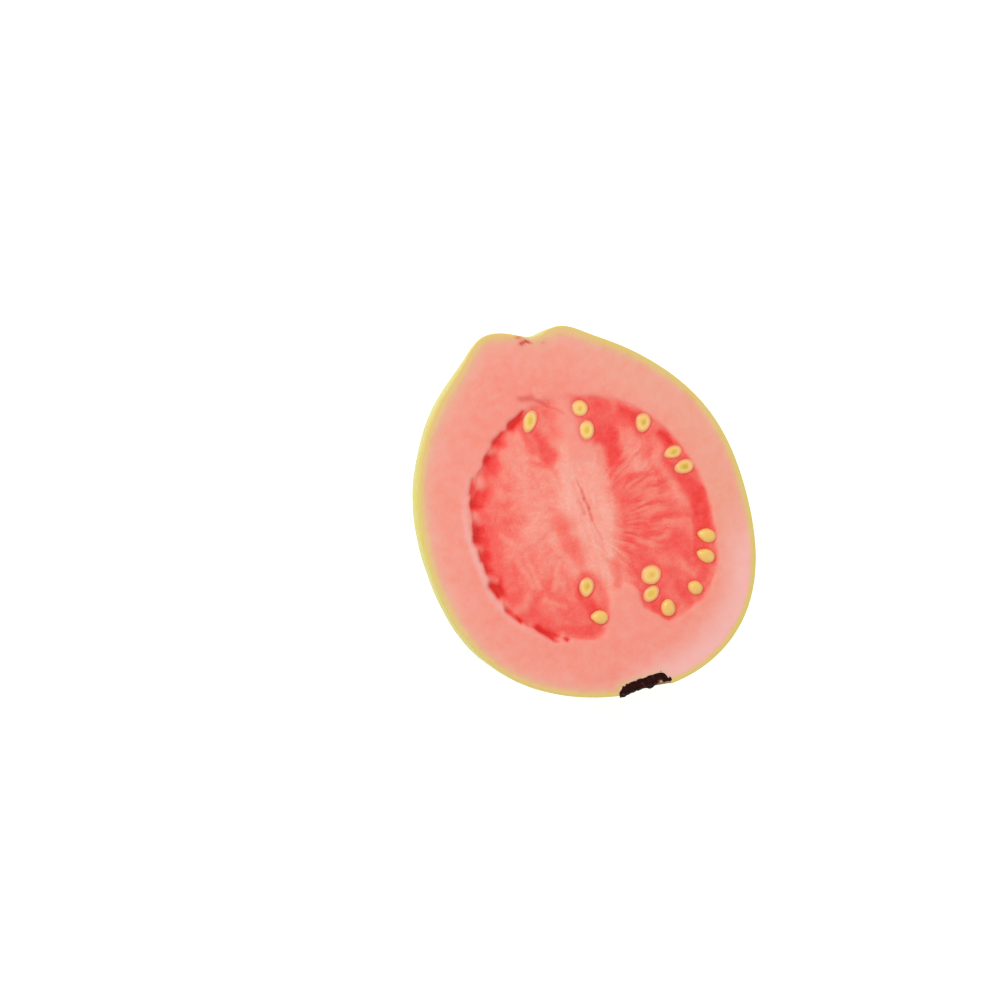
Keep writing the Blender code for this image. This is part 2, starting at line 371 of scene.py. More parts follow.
# Broad changes of the pulp's red, from the pale middle to its deeper edges.
WASHES = (
    Stroke((-9.2, 17.8), (-10.0, -0.6), (9.7, 11.4), 0.36, 3.1, 0.0),
    Stroke((-17.9, 9.3), (-22.1, -6.0), (7.9, 8.8), 0.5, 2.6, 0.0),
    Stroke((-22.0, -9.8), (-10.2, -20.4), (8.8, 7.9), 0.57, 2.6, 0.0),
    Stroke((-11.3, -10.6), (-9.3, -14.9), (5.7, 5.7), 0.44, 2.2, 0.0),
    Stroke((13.1, 3.2), (11.6, -11.9), (13.6, 14.5), 0.59, 2.6, 0.0),
    Stroke((20.7, -9.4), (18.1, -17.8), (7.5, 7.5), 0.5, 1.8, 0.0),
    Stroke((10.5, -15.0), (8.9, -23.8), (9.7, 7.5), 0.58, 1.8, 0.0),
    Stroke((12.0, 18.3), (17.1, 13.0), (6.6, 5.7), 0.58, 1.8, 0.0),
)

# Deep red pockets where the pulp has pulled away from the flesh.
PITS = (
    Stroke((-5.8, 25.5), (-8.9, 23.3), (0.9, 2.5), 0.97, 0.4, 0.7),
    Stroke((-9.0, 23.6), (-9.9, 23.0), (1.1, 0.5), 1.0, 0.3, 0.3),
    Stroke((-11.7, 22.0), (-13.1, 20.6), (2.2, 3.2), 0.88, 0.4, 0.7),
    Stroke((-15.0, 18.7), (-16.0, 17.7), (2.5, 3.6), 0.92, 0.4, 0.8),
    Stroke((-16.4, 18.6), (-17.0, 18.3), (1.1, 0.9), 1.0, 0.4, 0.3),
    Stroke((-16.6, 15.6), (-18.2, 15.0), (1.9, 1.4), 0.86, 0.4, 0.5),
    Stroke((-21.0, 14.9), (-22.6, 12.4), (0.9, 0.9), 0.8, 0.4, 0.4),
    Stroke((-19.8, 11.8), (-22.2, 9.7), (2.2, 3.2), 0.93, 0.4, 0.8),
    Stroke((-23.0, 9.5), (-21.2, 8.6), (0.5, 0.5), 1.0, 0.3, 0.3),
    Stroke((-23.6, 5.3), (-24.0, 2.1), (2.5, 3.9), 0.97, 0.5, 0.9),
    Stroke((-25.2, 3.3), (-24.7, 2.9), (1.1, 0.9), 1.0, 0.4, 0.3),
    Stroke((-24.3, -0.1), (-24.3, -1.8), (2.2, 2.8), 0.93, 0.5, 0.8),
    Stroke((-24.7, -3.7), (-24.5, -5.2), (1.4, 1.9), 0.9, 0.4, 0.6),
    Stroke((-24.2, -8.1), (-24.0, -10.7), (3.6, 2.5), 1.0, 0.5, 1.0),
    Stroke((-23.6, -14.2), (-21.7, -17.9), (1.4, 1.1), 0.9, 0.4, 0.6),
    Stroke((-18.7, -20.1), (-15.6, -23.6), (1.6, 1.9), 0.96, 0.4, 0.8),
    Stroke((-14.1, -24.1), (-13.5, -25.0), (1.1, 1.1), 0.86, 0.4, 0.4),
    Stroke((15.1, 17.9), (16.5, 15.8), (1.4, 2.5), 0.93, 0.5, 0.5),
    Stroke((21.1, 10.6), (22.2, 8.3), (1.6, 2.2), 0.94, 0.5, 0.6),
)

# Smooth, deeper red jelly round the seeds and along the edge of the pulp.
GELS = (
    Stroke((-5.0, 20.5), (-3.7, 14.4), (1.8, 3.8), 0.78, 1.1, 0.15),
    Stroke((-7.2, 20.1), (-6.9, 16.5), (1.8, 2.6), 0.6, 0.9, 0.0),
    Stroke((-8.1, 14.4), (-4.1, 12.0), (1.3, 1.5), 0.56, 0.7, 0.0),
    Stroke((10.4, 20.3), (9.8, 11.4), (5.7, 5.6), 0.68, 0.6, 0.12),
    Stroke((9.6, 13.4), (9.2, 10.4), (6.0, 5.7), 0.80, 0.7, 0.1),
    Stroke((12.5, 18.4), (17.2, 12.0), (3.1, 2.2), 0.68, 0.9, 0.0),
    Stroke((-6.8, -16.2), (-6.2, -21.1), (3.7, 2.6), 0.8, 0.7, 0.15),
    Stroke((-6.3, 0.0), (-5.8, -8.0), (3.6, 4.8), 0.58, 1.6, 0.05),
    Stroke((2.5, -12.6), (1.1, -18.2), (2.6, 2.2), 0.48, 1.1, 0.0),
    Stroke((20.0, 4.0), (24.2, -4.7), (2.8, 4.4), 0.82, 0.7, 0.15),
    Stroke((24.2, -4.7), (23.4, -11.4), (4.4, 3.8), 0.84, 0.9, 0.15),
    Stroke((23.4, -10.3), (20.3, -17.6), (3.5, 3.5), 0.78, 0.7, 0.1),
    Stroke((17.1, -12.7), (18.5, -17.9), (4.0, 3.1), 0.7, 0.9, 0.05),
    Stroke((21.1, -19.3), (18.7, -22.7), (2.0, 2.0), 0.72, 0.7, 0.05),
    Stroke((7.8, -14.0), (8.2, -21.2), (5.7, 4.4), 0.68, 0.9, 0.05),
    Stroke((7.8, -22.9), (9.2, -27.6), (4.0, 2.2), 0.77, 0.6, 0.1),
    Stroke((14.1, -22.4), (14.7, -25.9), (3.1, 1.8), 0.75, 0.7, 0.1),
    Stroke((13.1, -18.8), (16.1, -22.2), (3.1, 2.6), 0.66, 0.9, 0.0),
    Stroke((5.7, 22.3), (4.4, 16.7), (4.4, 4.0), 0.64, 0.9, 0.05),
    Stroke((9.3, 22.4), (10.5, 20.0), (1.8, 2.2), 0.72, 0.4, 0.1),
    Stroke((-22.1, -12.6), (-14.5, -22.6), (3.3, 2.6), 0.7, 1.1, 0.1),
    Stroke((-14.5, -22.6), (-6.1, -25.4), (2.2, 2.6), 0.74, 0.9, 0.1),
    Stroke((-21.6, 5.5), (-23.0, -4.8), (4.4, 4.8), 0.68, 1.3, 0.1),
    Stroke((-13.8, 20.0), (-20.4, 10.2), (3.5, 4.0), 0.6, 1.3, 0.0),
    Stroke((-14.1, -12.0), (-10.4, -21.0), (3.1, 3.5), 0.62, 1.1, 0.0),
)

# The pale, spongy core.
CORE = (
    Stroke((2.2, 13.2), (-0.2, 0.1), (7.5, 12.8), 0.13, 2.2, -0.1),
    Stroke((-0.4, -1.7), (-0.3, -11.1), (12.3, 7.5), 0.13, 2.2, -0.1),
    Stroke((0.1, -11.3), (0.4, -20.7), (4.4, 3.7), 0.16, 1.3, -0.15),
)

# The bridges of flesh that reach the core from below and above.
BRIDGES = (
    Stroke((0.7, -20.8), (-3.1, -30.7), (3.7, 6.6), 0.03, 1.5, -0.3),
    Stroke((3.0, -19.5), (2.6, -24.5), (3.0, 3.8), 0.06, 0.5, -0.1),
    Stroke((2.6, -24.5), (4.6, -30.5), (3.8, 9.0), 0.03, 0.6, -0.1),
    Stroke((-2.3, -25.8), (-5.6, -29.4), (4.0, 4.4), 0.03, 1.5, -0.1),
    Stroke((3.3, 22.7), (2.8, 13.5), (4.0, 4.4), 0.2, 1.8, -0.1),
)

# Paler stripes and patches in the pulp.
PALES = (
    Stroke((-9.0, 5.4), (-9.3, -3.2), (2.2, 1.8), 0.24, 1.1, -0.05),
    Stroke((-9.3, -3.2), (-6.8, -11.8), (1.8, 1.8), 0.24, 1.1, -0.05),
    Stroke((14.7, 11.5), (14.8, 5.4), (4.8, 3.5), 0.3, 1.3, -0.05),
    Stroke((18.5, 6.4), (21.3, -5.1), (1.8, 1.8), 0.34, 0.9, -0.05),
    Stroke((7.1, 11.9), (5.8, 4.9), (2.6, 3.1), 0.2, 1.1, -0.05),
    Stroke((3.0, -18.2), (3.6, -22.4), (2.0, 1.8), 0.15, 1.1, -0.15),
)

# Pale, swollen lobes between the pockets.
LOBES = (
    Stroke((-10.5, 21.3), (-9.4, 19.8), (2.3, 1.7), 0.32, 0.7, -0.3),
    Stroke((-12.7, 17.9), (-11.7, 16.9), (2.9, 2.3), 0.28, 0.7, -0.3),
    Stroke((-15.5, 19.9), (-14.4, 19.7), (1.4, 1.0), 0.36, 0.6, -0.25),
    Stroke((-19.8, 14.4), (-19.9, 13.1), (2.5, 1.8), 0.15, 0.6, -0.35),
    Stroke((-24.3, 7.6), (-23.1, 6.2), (1.8, 1.0), 0.2, 0.7, -0.3),
    Stroke((-25.2, -6.3), (-23.7, -7.3), (1.4, 1.2), 0.36, 0.5, -0.3),
    Stroke((-22.1, -15.2), (-20.2, -14.9), (1.2, 1.5), 0.3, 0.7, -0.25),
    Stroke((-20.2, -14.9), (-18.6, -13.4), (1.3, 0.9), 0.34, 0.8, -0.2),
    Stroke((-24.0, -12.1), (-23.1, -13.4), (1.4, 1.2), 0.36, 0.5, -0.3),
    Stroke((-26.0, 1.2), (-24.8, 0.6), (1.2, 1.2), 0.4, 0.5, -0.2),
    Stroke((-15.4, -23.9), (-14.1, -23.4), (1.2, 0.9), 0.1, 0.5, -0.3),
)

# Faint pale streaks in the lower left of the pulp.
STREAKS = (
    Stroke((-17.7, -5.5), (-16.7, -11.3), (1.0, 0.7), 0.27, 0.7, -0.10),
    Stroke((-15.7, -4.3), (-15.5, -12.0), (0.7, 1.0), 0.26, 0.7, -0.10),
    Stroke((-15.3, -15.1), (-11.4, -17.9), (1.0, 0.8), 0.30, 0.7, -0.08),
    Stroke((-9.6, -8.4), (-12.6, -13.8), (1.0, 0.8), 0.28, 0.7, -0.10),
    Stroke((-19.5, 1.5), (-16.0, -3.0), (0.8, 0.7), 0.32, 0.7, -0.08),
)

# The thin crack in the core.
CRACK = (
    Stroke((0.2, 7.8), (0.5, 4.5), (0.3, 0.5), 0.42, 0.3, 0.2),
    Stroke((0.5, 4.5), (0.4, 2.7), (0.5, 0.6), 0.48, 0.3, 0.3),
    Stroke((0.4, 2.7), (0.8, 0.4), (0.8, 0.6), 0.44, 0.3, 0.35),
    Stroke((-0.9, 2.6), (-0.5, -0.3), (0.9, 0.6), 0.34, 0.5, 0.25),
    Stroke((0.8, 0.4), (0.7, -2.3), (0.6, 0.4), 0.42, 0.3, 0.25),
    Stroke((0.7, -2.3), (1.2, -6.5), (0.3, 0.2), 0.30, 0.3, 0.15),
    Stroke((1.2, -6.5), (0.9, -8.5), (0.2, 0.2), 0.18, 0.3, 0.05),
)

# Stains on the flesh: a crease above the pulp, and the red scar under the stem.
STAINS = (
    Stroke((-5.5, 28.3), (-3.1, 27.6), (1.3, 1.7), 0.40, 0.6, 0.02),
    Stroke((-3.0, 27.3), (-0.3, 24.4), (1.0, 0.6), 0.38, 0.4, 0.02),
    Stroke((-0.3, 24.4), (2.4, 22.3), (0.6, 0.5), 0.32, 0.4, 0.02),
    Stroke((-11.5, -35.1), (-7.0, -36.1), (2.2, 2.6), 0.10, 1.3, 0.0),
    Stroke((-1.1, 39.4), (0.0, 39.7), (1.0, 0.9), 0.62, 0.35, 0.08),
    Stroke((0.0, 39.7), (1.0, 38.7), (0.9, 0.4), 0.56, 0.3, 0.08),
    Stroke((-1.4, 40.9), (-0.7, 41.0), (0.7, 0.5), 0.6, 0.4, 0.0),
    Stroke((3.3, 38.1), (3.7, 38.1), (0.4, 0.4), 0.3, 0.4, 0.0),
    Stroke((-4.5, 37.4), (-1.0, 38.5), (1.2, 1.2), 0.08, 1.2, 0.0),
    Stroke((-8.9, 31.5), (-8.5, 31.4), (0.4, 0.4), 0.2, 0.3, 0.0),
)


@dataclass(frozen=True)
class Seed:
    """A seed's place, size and turn in millimetres of the cut face, and whether the knife met it.

    The warmth is how far its coat leans from cream to amber, and olive how dark its kernel is.
    """

    x: float
    y: float
    length: float
    width: float
    tip_at: float
    taper: float
    cut: bool
    warmth: float
    olive: float = 0.2

    def own(self, x: np.ndarray, y: np.ndarray) -> tuple[np.ndarray, np.ndarray]:
        """Turns places on the face into the seed's own shares of its half length and half width.

        Args:
            x: Millimetres across the face.
            y: Millimetres along it.

        Returns:
            The share along the seed, to its tip, and the share across it.
        """
        turn = math.radians(self.tip_at)
        along = ((x - self.x) * math.cos(turn) + (y - self.y) * math.sin(turn)) / (0.5 * self.length)
        across = (y - self.y) * math.cos(turn) - (x - self.x) * math.sin(turn)
        narrow = 1 - self.taper * (0.5 + 0.5 * np.clip(along, -1, 1)) ** 2
        return along, across / (0.5 * self.width * narrow)

    def away(self, x: np.ndarray, y: np.ndarray) -> np.ndarray:
        """Returns how many millimetres each place lies outside the seed's outline, roughly."""
        along, across = self.own(x, y)
        return (np.hypot(along, across) - 1.0) * 0.25 * (self.length + self.width)


SEEDS = (
    Seed(-5.0, 22.9, 5.4, 3.2, 233, 0.10, True, 0.15),
    Seed(6.3, 21.8, 3.9, 3.7, 130, 0.00, True, 0.05),
    Seed(6.1, 16.8, 4.6, 3.7, 250, 0.10, True, 0.0),
    Seed(18.4, 14.1, 4.6, 3.6, 240, 0.15, True, 0.35, 0.5),
    Seed(22.4, 5.7, 4.4, 3.1, 180, 0.30, True, 0.55, 0.4),
    Seed(23.7, 1.9, 4.7, 3.4, 180, 0.10, True, 0.5, 0.6),
    Seed(23.2, -14.0, 4.2, 3.3, 145, 0.35, False, 0.5),
    Seed(21.5, -18.1, 4.2, 3.2, 140, 0.35, False, 0.55),
    Seed(8.7, -17.9, 4.8, 4.5, 200, 0.05, True, 0.2),
    Seed(7.3, -21.8, 4.3, 3.3, 25, 0.15, True, 0.5),
    Seed(9.8, -26.0, 3.8, 3.4, 70, 0.15, False, 0.75),
    Seed(16.9, -23.9, 3.5, 3.1, 130, 0.15, False, 0.65),
    Seed(-5.6, -15.5, 4.6, 3.6, 240, 0.25, True, 0.4, 0.35),
    Seed(-5.2, -22.7, 3.9, 3.2, 155, 0.25, False, 0.6),
)


@dataclass(frozen=True)
class Layer:
    """A layer of noise: its strength, the size of its lumps in millimetres, and where it starts."""

    strength: float
    size: float | tuple[float, float, float]
    start: float = 0.0


def layered(grain: Grain, place: np.ndarray, layers: tuple[Layer, ...]) -> np.ndarray:
    """Returns the layers of noise at these places, added up."""
    return sum(layer.strength * grain.at(place + layer.start, layer.size) for layer in layers)


@dataclass(frozen=True)
class Spots:
    """Places on the cut face in its millimetres, plain and bent by noise, with four noise fields.

    Marks that grew are drawn at the bent places, so that no edge of theirs runs straight. The slow
    and ragged fields are blotches, the folds run along the fruit and the wisps out from its middle.
    """

    x: np.ndarray
    y: np.ndarray
    bent_x: np.ndarray
    bent_y: np.ndarray
    slow: np.ndarray
    ragged: np.ndarray
    folds: np.ndarray
    wisps: np.ndarray

    PATTERN: ClassVar[int] = 7
    BEND_X: ClassVar[tuple[Layer, ...]] = (Layer(0.34, 2.4), Layer(0.08, 1.0, 5.0))
    BEND_Y: ClassVar[tuple[Layer, ...]] = (Layer(0.34, 2.4, 40.0), Layer(0.08, 1.0, 45.0))
    SLOW: ClassVar[tuple[Layer, ...]] = (Layer(0.6, 4.0), Layer(0.4, 1.6))
    RAGGED: ClassVar[tuple[Layer, ...]] = (Layer(0.75, 2.6, 70.0), Layer(0.25, 1.1, 70.0))
    FOLDS: ClassVar[tuple[Layer, ...]] = (
        Layer(0.6, (1.5, 6.0, 1.0), 90.0),
        Layer(0.4, (0.8, 3.0, 1.0), 90.0),
    )
    WISPS: ClassVar[tuple[Layer, ...]] = (
        Layer(0.65, (1.5, 1.5, 7.0)),
        Layer(0.35, (0.8, 0.8, 4.0), 30.0),
    )
    WISP_REACH: ClassVar[float] = 14.0
    WISP_TURN: ClassVar[float] = 2.0
    WISP_SHIFT: ClassVar[float] = 3.0

    @classmethod
    def at(cls, x: np.ndarray, y: np.ndarray) -> Spots:
        """Works out the noise at these places.

        Args:
            x: Millimetres across the face.
            y: Millimetres along it.

        Returns:
            The places with their noise.
        """
        place = np.stack((x, y, np.zeros_like(x)), axis=1)
        grain = Grain(cls.PATTERN)
        slow = layered(grain, place, cls.SLOW)
        ragged = layered(grain, place, cls.RAGGED)
        turn = np.arctan2(y + cls.WISP_TURN * slow, x + cls.WISP_TURN * ragged)
        out = np.hypot(x, y) + cls.WISP_SHIFT * slow
        polar = np.stack((cls.WISP_REACH * np.cos(turn), cls.WISP_REACH * np.sin(turn), out), axis=1)
        return cls(
            x,
            y,
            bent_x=x + layered(grain, place, cls.BEND_X),
            bent_y=y + layered(grain, place, cls.BEND_Y),
            slow=slow,
            ragged=ragged,
            folds=layered(grain, place, cls.FOLDS),
            wisps=layered(grain, polar, cls.WISPS),
        )

    def most(self, strokes: tuple[Stroke, ...], spread: float = 1.0, share: float = 1.0) -> np.ndarray:
        """Works out how far the strokes cover each bent place, the strongest of them counting.

        Args:
            strokes: The strokes.
            spread: How many times softer than their own edges to draw them.
            share: How much a full cover counts.

        Returns:
            The cover, from 0 to the share.
        """
        cover = np.zeros_like(self.x)
        for stroke in strokes:
            cover = np.maximum(cover, share * stroke.cover(self.bent_x, self.bent_y, spread))
        return cover


@dataclass(frozen=True)
class CutFace:
    """The cut face as fields over its own millimetres: where the pulp is, its colour and relief.

    Blurs, widths and depths are in millimetres, and sides are degrees round the face. A tone or a
    share has no unit, and a spread says how many times softer than its own edge a stroke is drawn.
    """

    # Where the pulp ends, and how its edge is torn on the left.
    pulp_x: float = 0.6
    pulp_y: float = -2.1
    pulp_radius: float = 27.1
    pulp_waves: tuple[Wave, ...] = (
        Wave(2, 1.1, -62),
        Wave(3, 0.8, -41),
        Wave(4, 0.6, 41),
        Wave(5, 0.38, 15),
        Wave(7, 0.23, -2.5),
    )
    sharp_side: float = 168.0
    sharp_span: tuple[float, float] = (-0.1, 0.6)
    wobble: float = 0.38
    torn_wobble: float = 0.9
    shrink: float = 0.45
    red_reach: float = 0.38
    wall_ease: float = 0.32
    pit_ease: float = 2.0
    soft_blur: float = 0.60
    torn_blur: float = 0.42
    top_blur: float = 0.8
    top_side: float = 95.0
    top_width: float = 0.33
    core_spread: float = 1.4
    lobe_share: float = 0.40
    lobe_spread: float = 1.6
    bridge_share: float = 0.9

    # How deep the red is.
    pulp_tone: float = 0.45
    edge_tone: float = 0.06
    edge_from: float = 0.6
    blotch_tone: float = 0.07
    wash_blotch: float = 0.06
    core_fold_tone: float = 0.16
    fold_tone: float = 0.08
    wisp_tone: float = 0.17
    fan_calm: float = 0.75
    gel_blotch: float = 0.03
    gel_share: float = 0.9
    pale_share: float = 0.75
    bed_width: float = 1.1
    bed_tone: float = 0.72
    bed_share: float = 0.6
    halo_tone: float = 0.74
    halo_spread: float = 4.5
    halo_share: float = 0.75
    pit_lift: float = 0.06
    pit_fade: float = 0.16
    pit_fade_width: float = 2.6
    pit_blotch: float = 0.06
    pit_spread: float = 1.6
    lobe_lift: float = 0.05
    lobe_tone_share: float = 0.6
    lobe_tone_spread: float = 1.8

    # The thin dark lines: the broken crack, the painted shade beside each seed and the painted shadow in
    # the torn edge's crevice.
    crack_bend: float = 0.9
    crack_least: float = 0.75
    crack_broken: float = 0.5
    shaded_side: float = -147.0
    seed_shade: tuple[float, float] = (0.03, 0.20)
    shade_focus: float = 1.5
    shade_width: float = 0.32
    crevice_out: float = 0.1
    crevice_width: float = 0.22
    crevice_gaps: tuple[float, float] = (-0.35, 0.5)
    crevice_shadow_tone: float = 0.34

    # The fan of fibres.
    fan_x: float = 3.0
    fan_y: float = -0.1
    hub_x: float = -4.0
    hub_y: float = -1.5
    fan_side: float = -22.0
    fan_span: tuple[float, float] = (-0.1, 0.5)
    fan_start: tuple[float, float] = (4.8, 9.5)
    fan_end: tuple[float, float] = (14.0, 19.0)
    back_fan: float = 0.14
    back_start: tuple[float, float] = (4.0, 9.0)
    jelly_calm: float = 0.85

    # How far the face lies below the cut.
    pulp_sink: float = 0.35
    left_sink: float = 0.34
    slope_from: float = 0.72
    slow_relief: float = 0.10
    ragged_relief: float = 0.05
    core_fold_relief: float = 0.20
    wisp_relief: float = 0.18
    fold_relief: float = 0.12
    stroke_ease: float = 1.3
    pit_sink: float = 0.42
    lobe_rise: float = 0.30
    deep_ease: float = 2.6
    seed_moat: float = 0.10
    moat_width: float = 0.4
    bank: float = 0.12
    bank_out: float = 1.1
    bank_width: float = 0.7
    lip: float = 0.07
    lip_out: float = 1.4
    lip_width: float = 1.1
    flesh_relief: float = 0.04
    stain_ease: float = 1.5

    def polar(self, x: np.ndarray, y: np.ndarray) -> tuple[np.ndarray, np.ndarray]:
        """Returns the clock angle and distance of each place from the pulp's centre."""
        return np.arctan2(y - self.pulp_y, x - self.pulp_x), np.hypot(y - self.pulp_y, x - self.pulp_x)

    def edge(self, clock: np.ndarray) -> np.ndarray:
        """Returns the distance of the pulp's edge from its centre at each clock angle."""
        return waved(self.pulp_radius, self.pulp_waves, clock)

    def sharpness(self, clock: np.ndarray) -> np.ndarray:
        """Returns 1 on the side where the pulp has torn from the flesh, 0 on the other."""
        return soft_step(*self.sharp_span, np.cos(clock - math.radians(self.sharp_side)))

    def past(self, spots: Spots) -> np.ndarray:
        """Returns how many millimetres each place lies past the pulp's uneven edge."""
        clock, out = self.polar(spots.x, spots.y)
        sharp = self.sharpness(clock)
        wobble = self.wobble * (1.0 + self.torn_wobble * sharp) * spots.ragged
        return out - self.edge(clock) + self.shrink * sharp + wobble

    def core(self, spots: Spots) -> np.ndarray:
        """Returns 1 in the pale core with its soft folds, 0 elsewhere."""
        return spots.most(CORE, self.core_spread)

    def cover(self, spots: Spots, reach: float = 0.0, ease: float = 0.0) -> np.ndarray:
        """Works out where the pulp is.

        Args:
            spots: The places.
            reach: How far the pulp's red climbs the torn edge, in millimetres.
            ease: How much wider its edge is, in millimetres, so that its wall slopes.

        Returns:
            1 in the pulp, 0 in the flesh.
        """
        clock, _ = self.polar(spots.x, spots.y)
        sharp = self.sharpness(clock)
        at_top = bell((clock - math.radians(self.top_side)) / self.top_width)
        blur = self.soft_blur - self.torn_blur * sharp + self.top_blur * at_top + ease * sharp
        pulp = 1.0 - soft_step(-blur, blur, self.past(spots) - reach * sharp)
        pulp = np.maximum(pulp, spots.most(PITS, 1.0 + self.pit_ease * ease))
        lobes = spots.most(LOBES, self.lobe_spread, self.lobe_share)
        return pulp * (1.0 - self.bridge_share * np.maximum(spots.most(BRIDGES), lobes))

    def tone(self, spots: Spots) -> np.ndarray:
        """Works out how deep a red the pulp has, coat over coat.

        Args:
            spots: The places.

        Returns:
            The tone, 0 for pale core and 1 for the deepest red.
        """
        x, y, noise = spots.bent_x, spots.bent_y, spots.slow
        clock, out = self.polar(x, y)
        at_edge = soft_step(self.edge_from, 1.0, out / self.edge(clock))
        tone = self.pulp_tone + self.edge_tone * at_edge + self.blotch_tone * noise
        for stroke in WASHES:
            tone = toward(tone, stroke.tone + self.wash_blotch * noise, stroke.cover(x, y))
        for stroke in CORE:
            tone = toward(tone, stroke.tone, stroke.cover(x, y))
        tone = self.grown_tone(spots, tone)
        for stroke in GELS:
            deeper = np.maximum(tone, stroke.tone + self.gel_blotch * noise)
            tone = toward(tone, deeper, self.gel_share * stroke.cover(x, y))
        for stroke in BRIDGES + PALES + STREAKS:
            tone = toward(tone, stroke.tone, self.pale_share * stroke.cover(x, y))
        for seed in SEEDS:
            ring = bell(np.clip(seed.away(spots.x, spots.y), 0.0, None) / self.bed_width)
            tone = toward(tone, np.maximum(tone, self.bed_tone), self.bed_share * ring)
        inside = soft_step(0.0, self.pit_fade_width, self.edge(clock) - out)
        for stroke in PITS:
            halo = self.halo_share * stroke.cover(x, y, self.halo_spread)
            tone = toward(tone, np.maximum(tone, self.halo_tone), halo)
            red = stroke.tone + self.pit_lift - self.pit_fade * inside + self.pit_blotch * spots.ragged
            tone = toward(tone, np.maximum(tone, red), stroke.cover(x, y, self.pit_spread))
        for stroke in LOBES:
            cover = self.lobe_tone_share * stroke.cover(x, y, self.lobe_tone_spread)
            tone = toward(tone, stroke.tone + self.lobe_lift, cover)
        return tone

    def grown_tone(self, spots: Spots, tone: np.ndarray) -> np.ndarray:
        """Returns the tone with the folds of the core, and the wisps and folds round it."""
        outer = 1.0 - self.core(spots)
        fan = self.fan(spots)
        tone = (
            tone
            + self.core_fold_tone * spots.folds * self.core(spots)
            + self.wisp_tone * spots.wisps * outer * (1.0 - self.fan_calm * fan)
        )
        return tone + self.fold_tone * spots.folds * outer * (1.0 - fan)

    def marks(self, spots: Spots) -> np.ndarray:
        """Returns how dark each place is: the crack, the stains, painted shade by each seed and painted
        shadow in the crevice.
        """
        marks = np.zeros_like(spots.x)
        broken = self.crack_least + self.crack_broken * spots.ragged
        for stroke in CRACK:
            marks = np.maximum(marks, broken * stroke.tone * stroke.cover(self.crack_x(spots), spots.y))
        for stroke in STAINS:
            marks = np.maximum(marks, stroke.tone * stroke.cover(spots.bent_x, spots.bent_y))
        # Painted shade round each seed, darkest on its lower left.
        least, more = self.seed_shade
        for seed in SEEDS:
            side = np.arctan2(spots.y - seed.y, spots.x - seed.x) - math.radians(self.shaded_side)
            shade_here = least + more * (0.5 + 0.5 * np.cos(side)) ** self.shade_focus
            close = bell(seed.away(spots.x, spots.y) / self.shade_width)
            marks = np.maximum(marks, shade_here * close)
        # Painted shadow in the crevice along the torn edge, broken into gaps by noise.
        clock, _ = self.polar(spots.x, spots.y)
        crevice = self.sharpness(clock) * bell((self.past(spots) + self.crevice_out) / self.crevice_width)
        crevice = crevice * soft_step(*self.crevice_gaps, spots.slow)
        return np.maximum(marks, self.crevice_shadow_tone * crevice)

    def crack_x(self, spots: Spots) -> np.ndarray:
        """Returns the places across the face that the crack is drawn at, nearly as bent as the rest."""
        return spots.x + self.crack_bend * (spots.bent_x - spots.x)

    def fan(self, spots: Spots) -> np.ndarray:
        """Returns how strongly the fan of fibres shows at each place."""
        angle = np.arctan2(spots.y - self.fan_y, spots.x - self.fan_x)
        away = np.hypot(spots.y - self.fan_y, spots.x - self.fan_x)
        front = soft_step(*self.fan_span, np.cos(angle - math.radians(self.fan_side)))
        right = front * soft_step(*self.fan_start, away) * (1.0 - soft_step(*self.fan_end, away))
        left = self.back_fan * soft_step(*self.back_start, away) * (1.0 - front)
        return (right + left) * (1.0 - self.jelly_calm * spots.most(GELS))

    def relief(self, spots: Spots, pulp: np.ndarray) -> np.ndarray:
        """Works out how far the face lies below the cut plane.

        Args:
            spots: The places.
            pulp: Where the pulp is, from 0 to 1.

        Returns:
            Millimetres below the cut plane.
        """
        x, y = spots.bent_x, spots.bent_y
        clock, out = self.polar(spots.x, spots.y)
        slope = soft_step(self.slope_from, 1.0, out / self.edge(clock))
        floor = self.pulp_sink + self.left_sink * (0.5 - 0.5 * np.cos(clock)) * slope
        core = self.core(spots)
        depth = floor + self.slow_relief * spots.slow + self.ragged_relief * spots.ragged
        grown = self.wisp_relief * spots.wisps + self.fold_relief * spots.folds
        depth = depth + self.core_fold_relief * spots.folds * core + grown * (1.0 - core)
        for stroke in GELS + CORE + BRIDGES + PALES + STREAKS:
            depth = depth + stroke.sink * stroke.cover(x, y, self.stroke_ease)
        for stroke in CRACK:
            depth = depth + stroke.sink * stroke.cover(self.crack_x(spots), spots.y, self.stroke_ease)
        for strokes, share in ((PITS, self.pit_sink), (LOBES, self.lobe_rise)):
            for stroke in strokes:
                depth = depth + share * stroke.sink * stroke.cover(x, y, self.deep_ease)
        for seed in SEEDS:
            away = np.clip(seed.away(spots.x, spots.y), 0.0, None)
            moat = self.seed_moat * bell(away / self.moat_width)
            depth = depth + moat - self.bank * bell((away - self.bank_out) / self.bank_width)
        past_lip = bell((out - self.edge(clock) - self.lip_out) / self.lip_width)
        flesh = self.flesh_relief * spots.ragged - self.lip * self.sharpness(clock) * past_lip
        for stroke in STAINS:
            flesh = flesh + stroke.sink * stroke.cover(x, y, self.stain_ease)
        return toward(flesh, depth, pulp)


FACE = CutFace()


def deselect() -> None:
    """Leaves nothing selected."""
    bpy.ops.object.select_all(action="DESELECT")


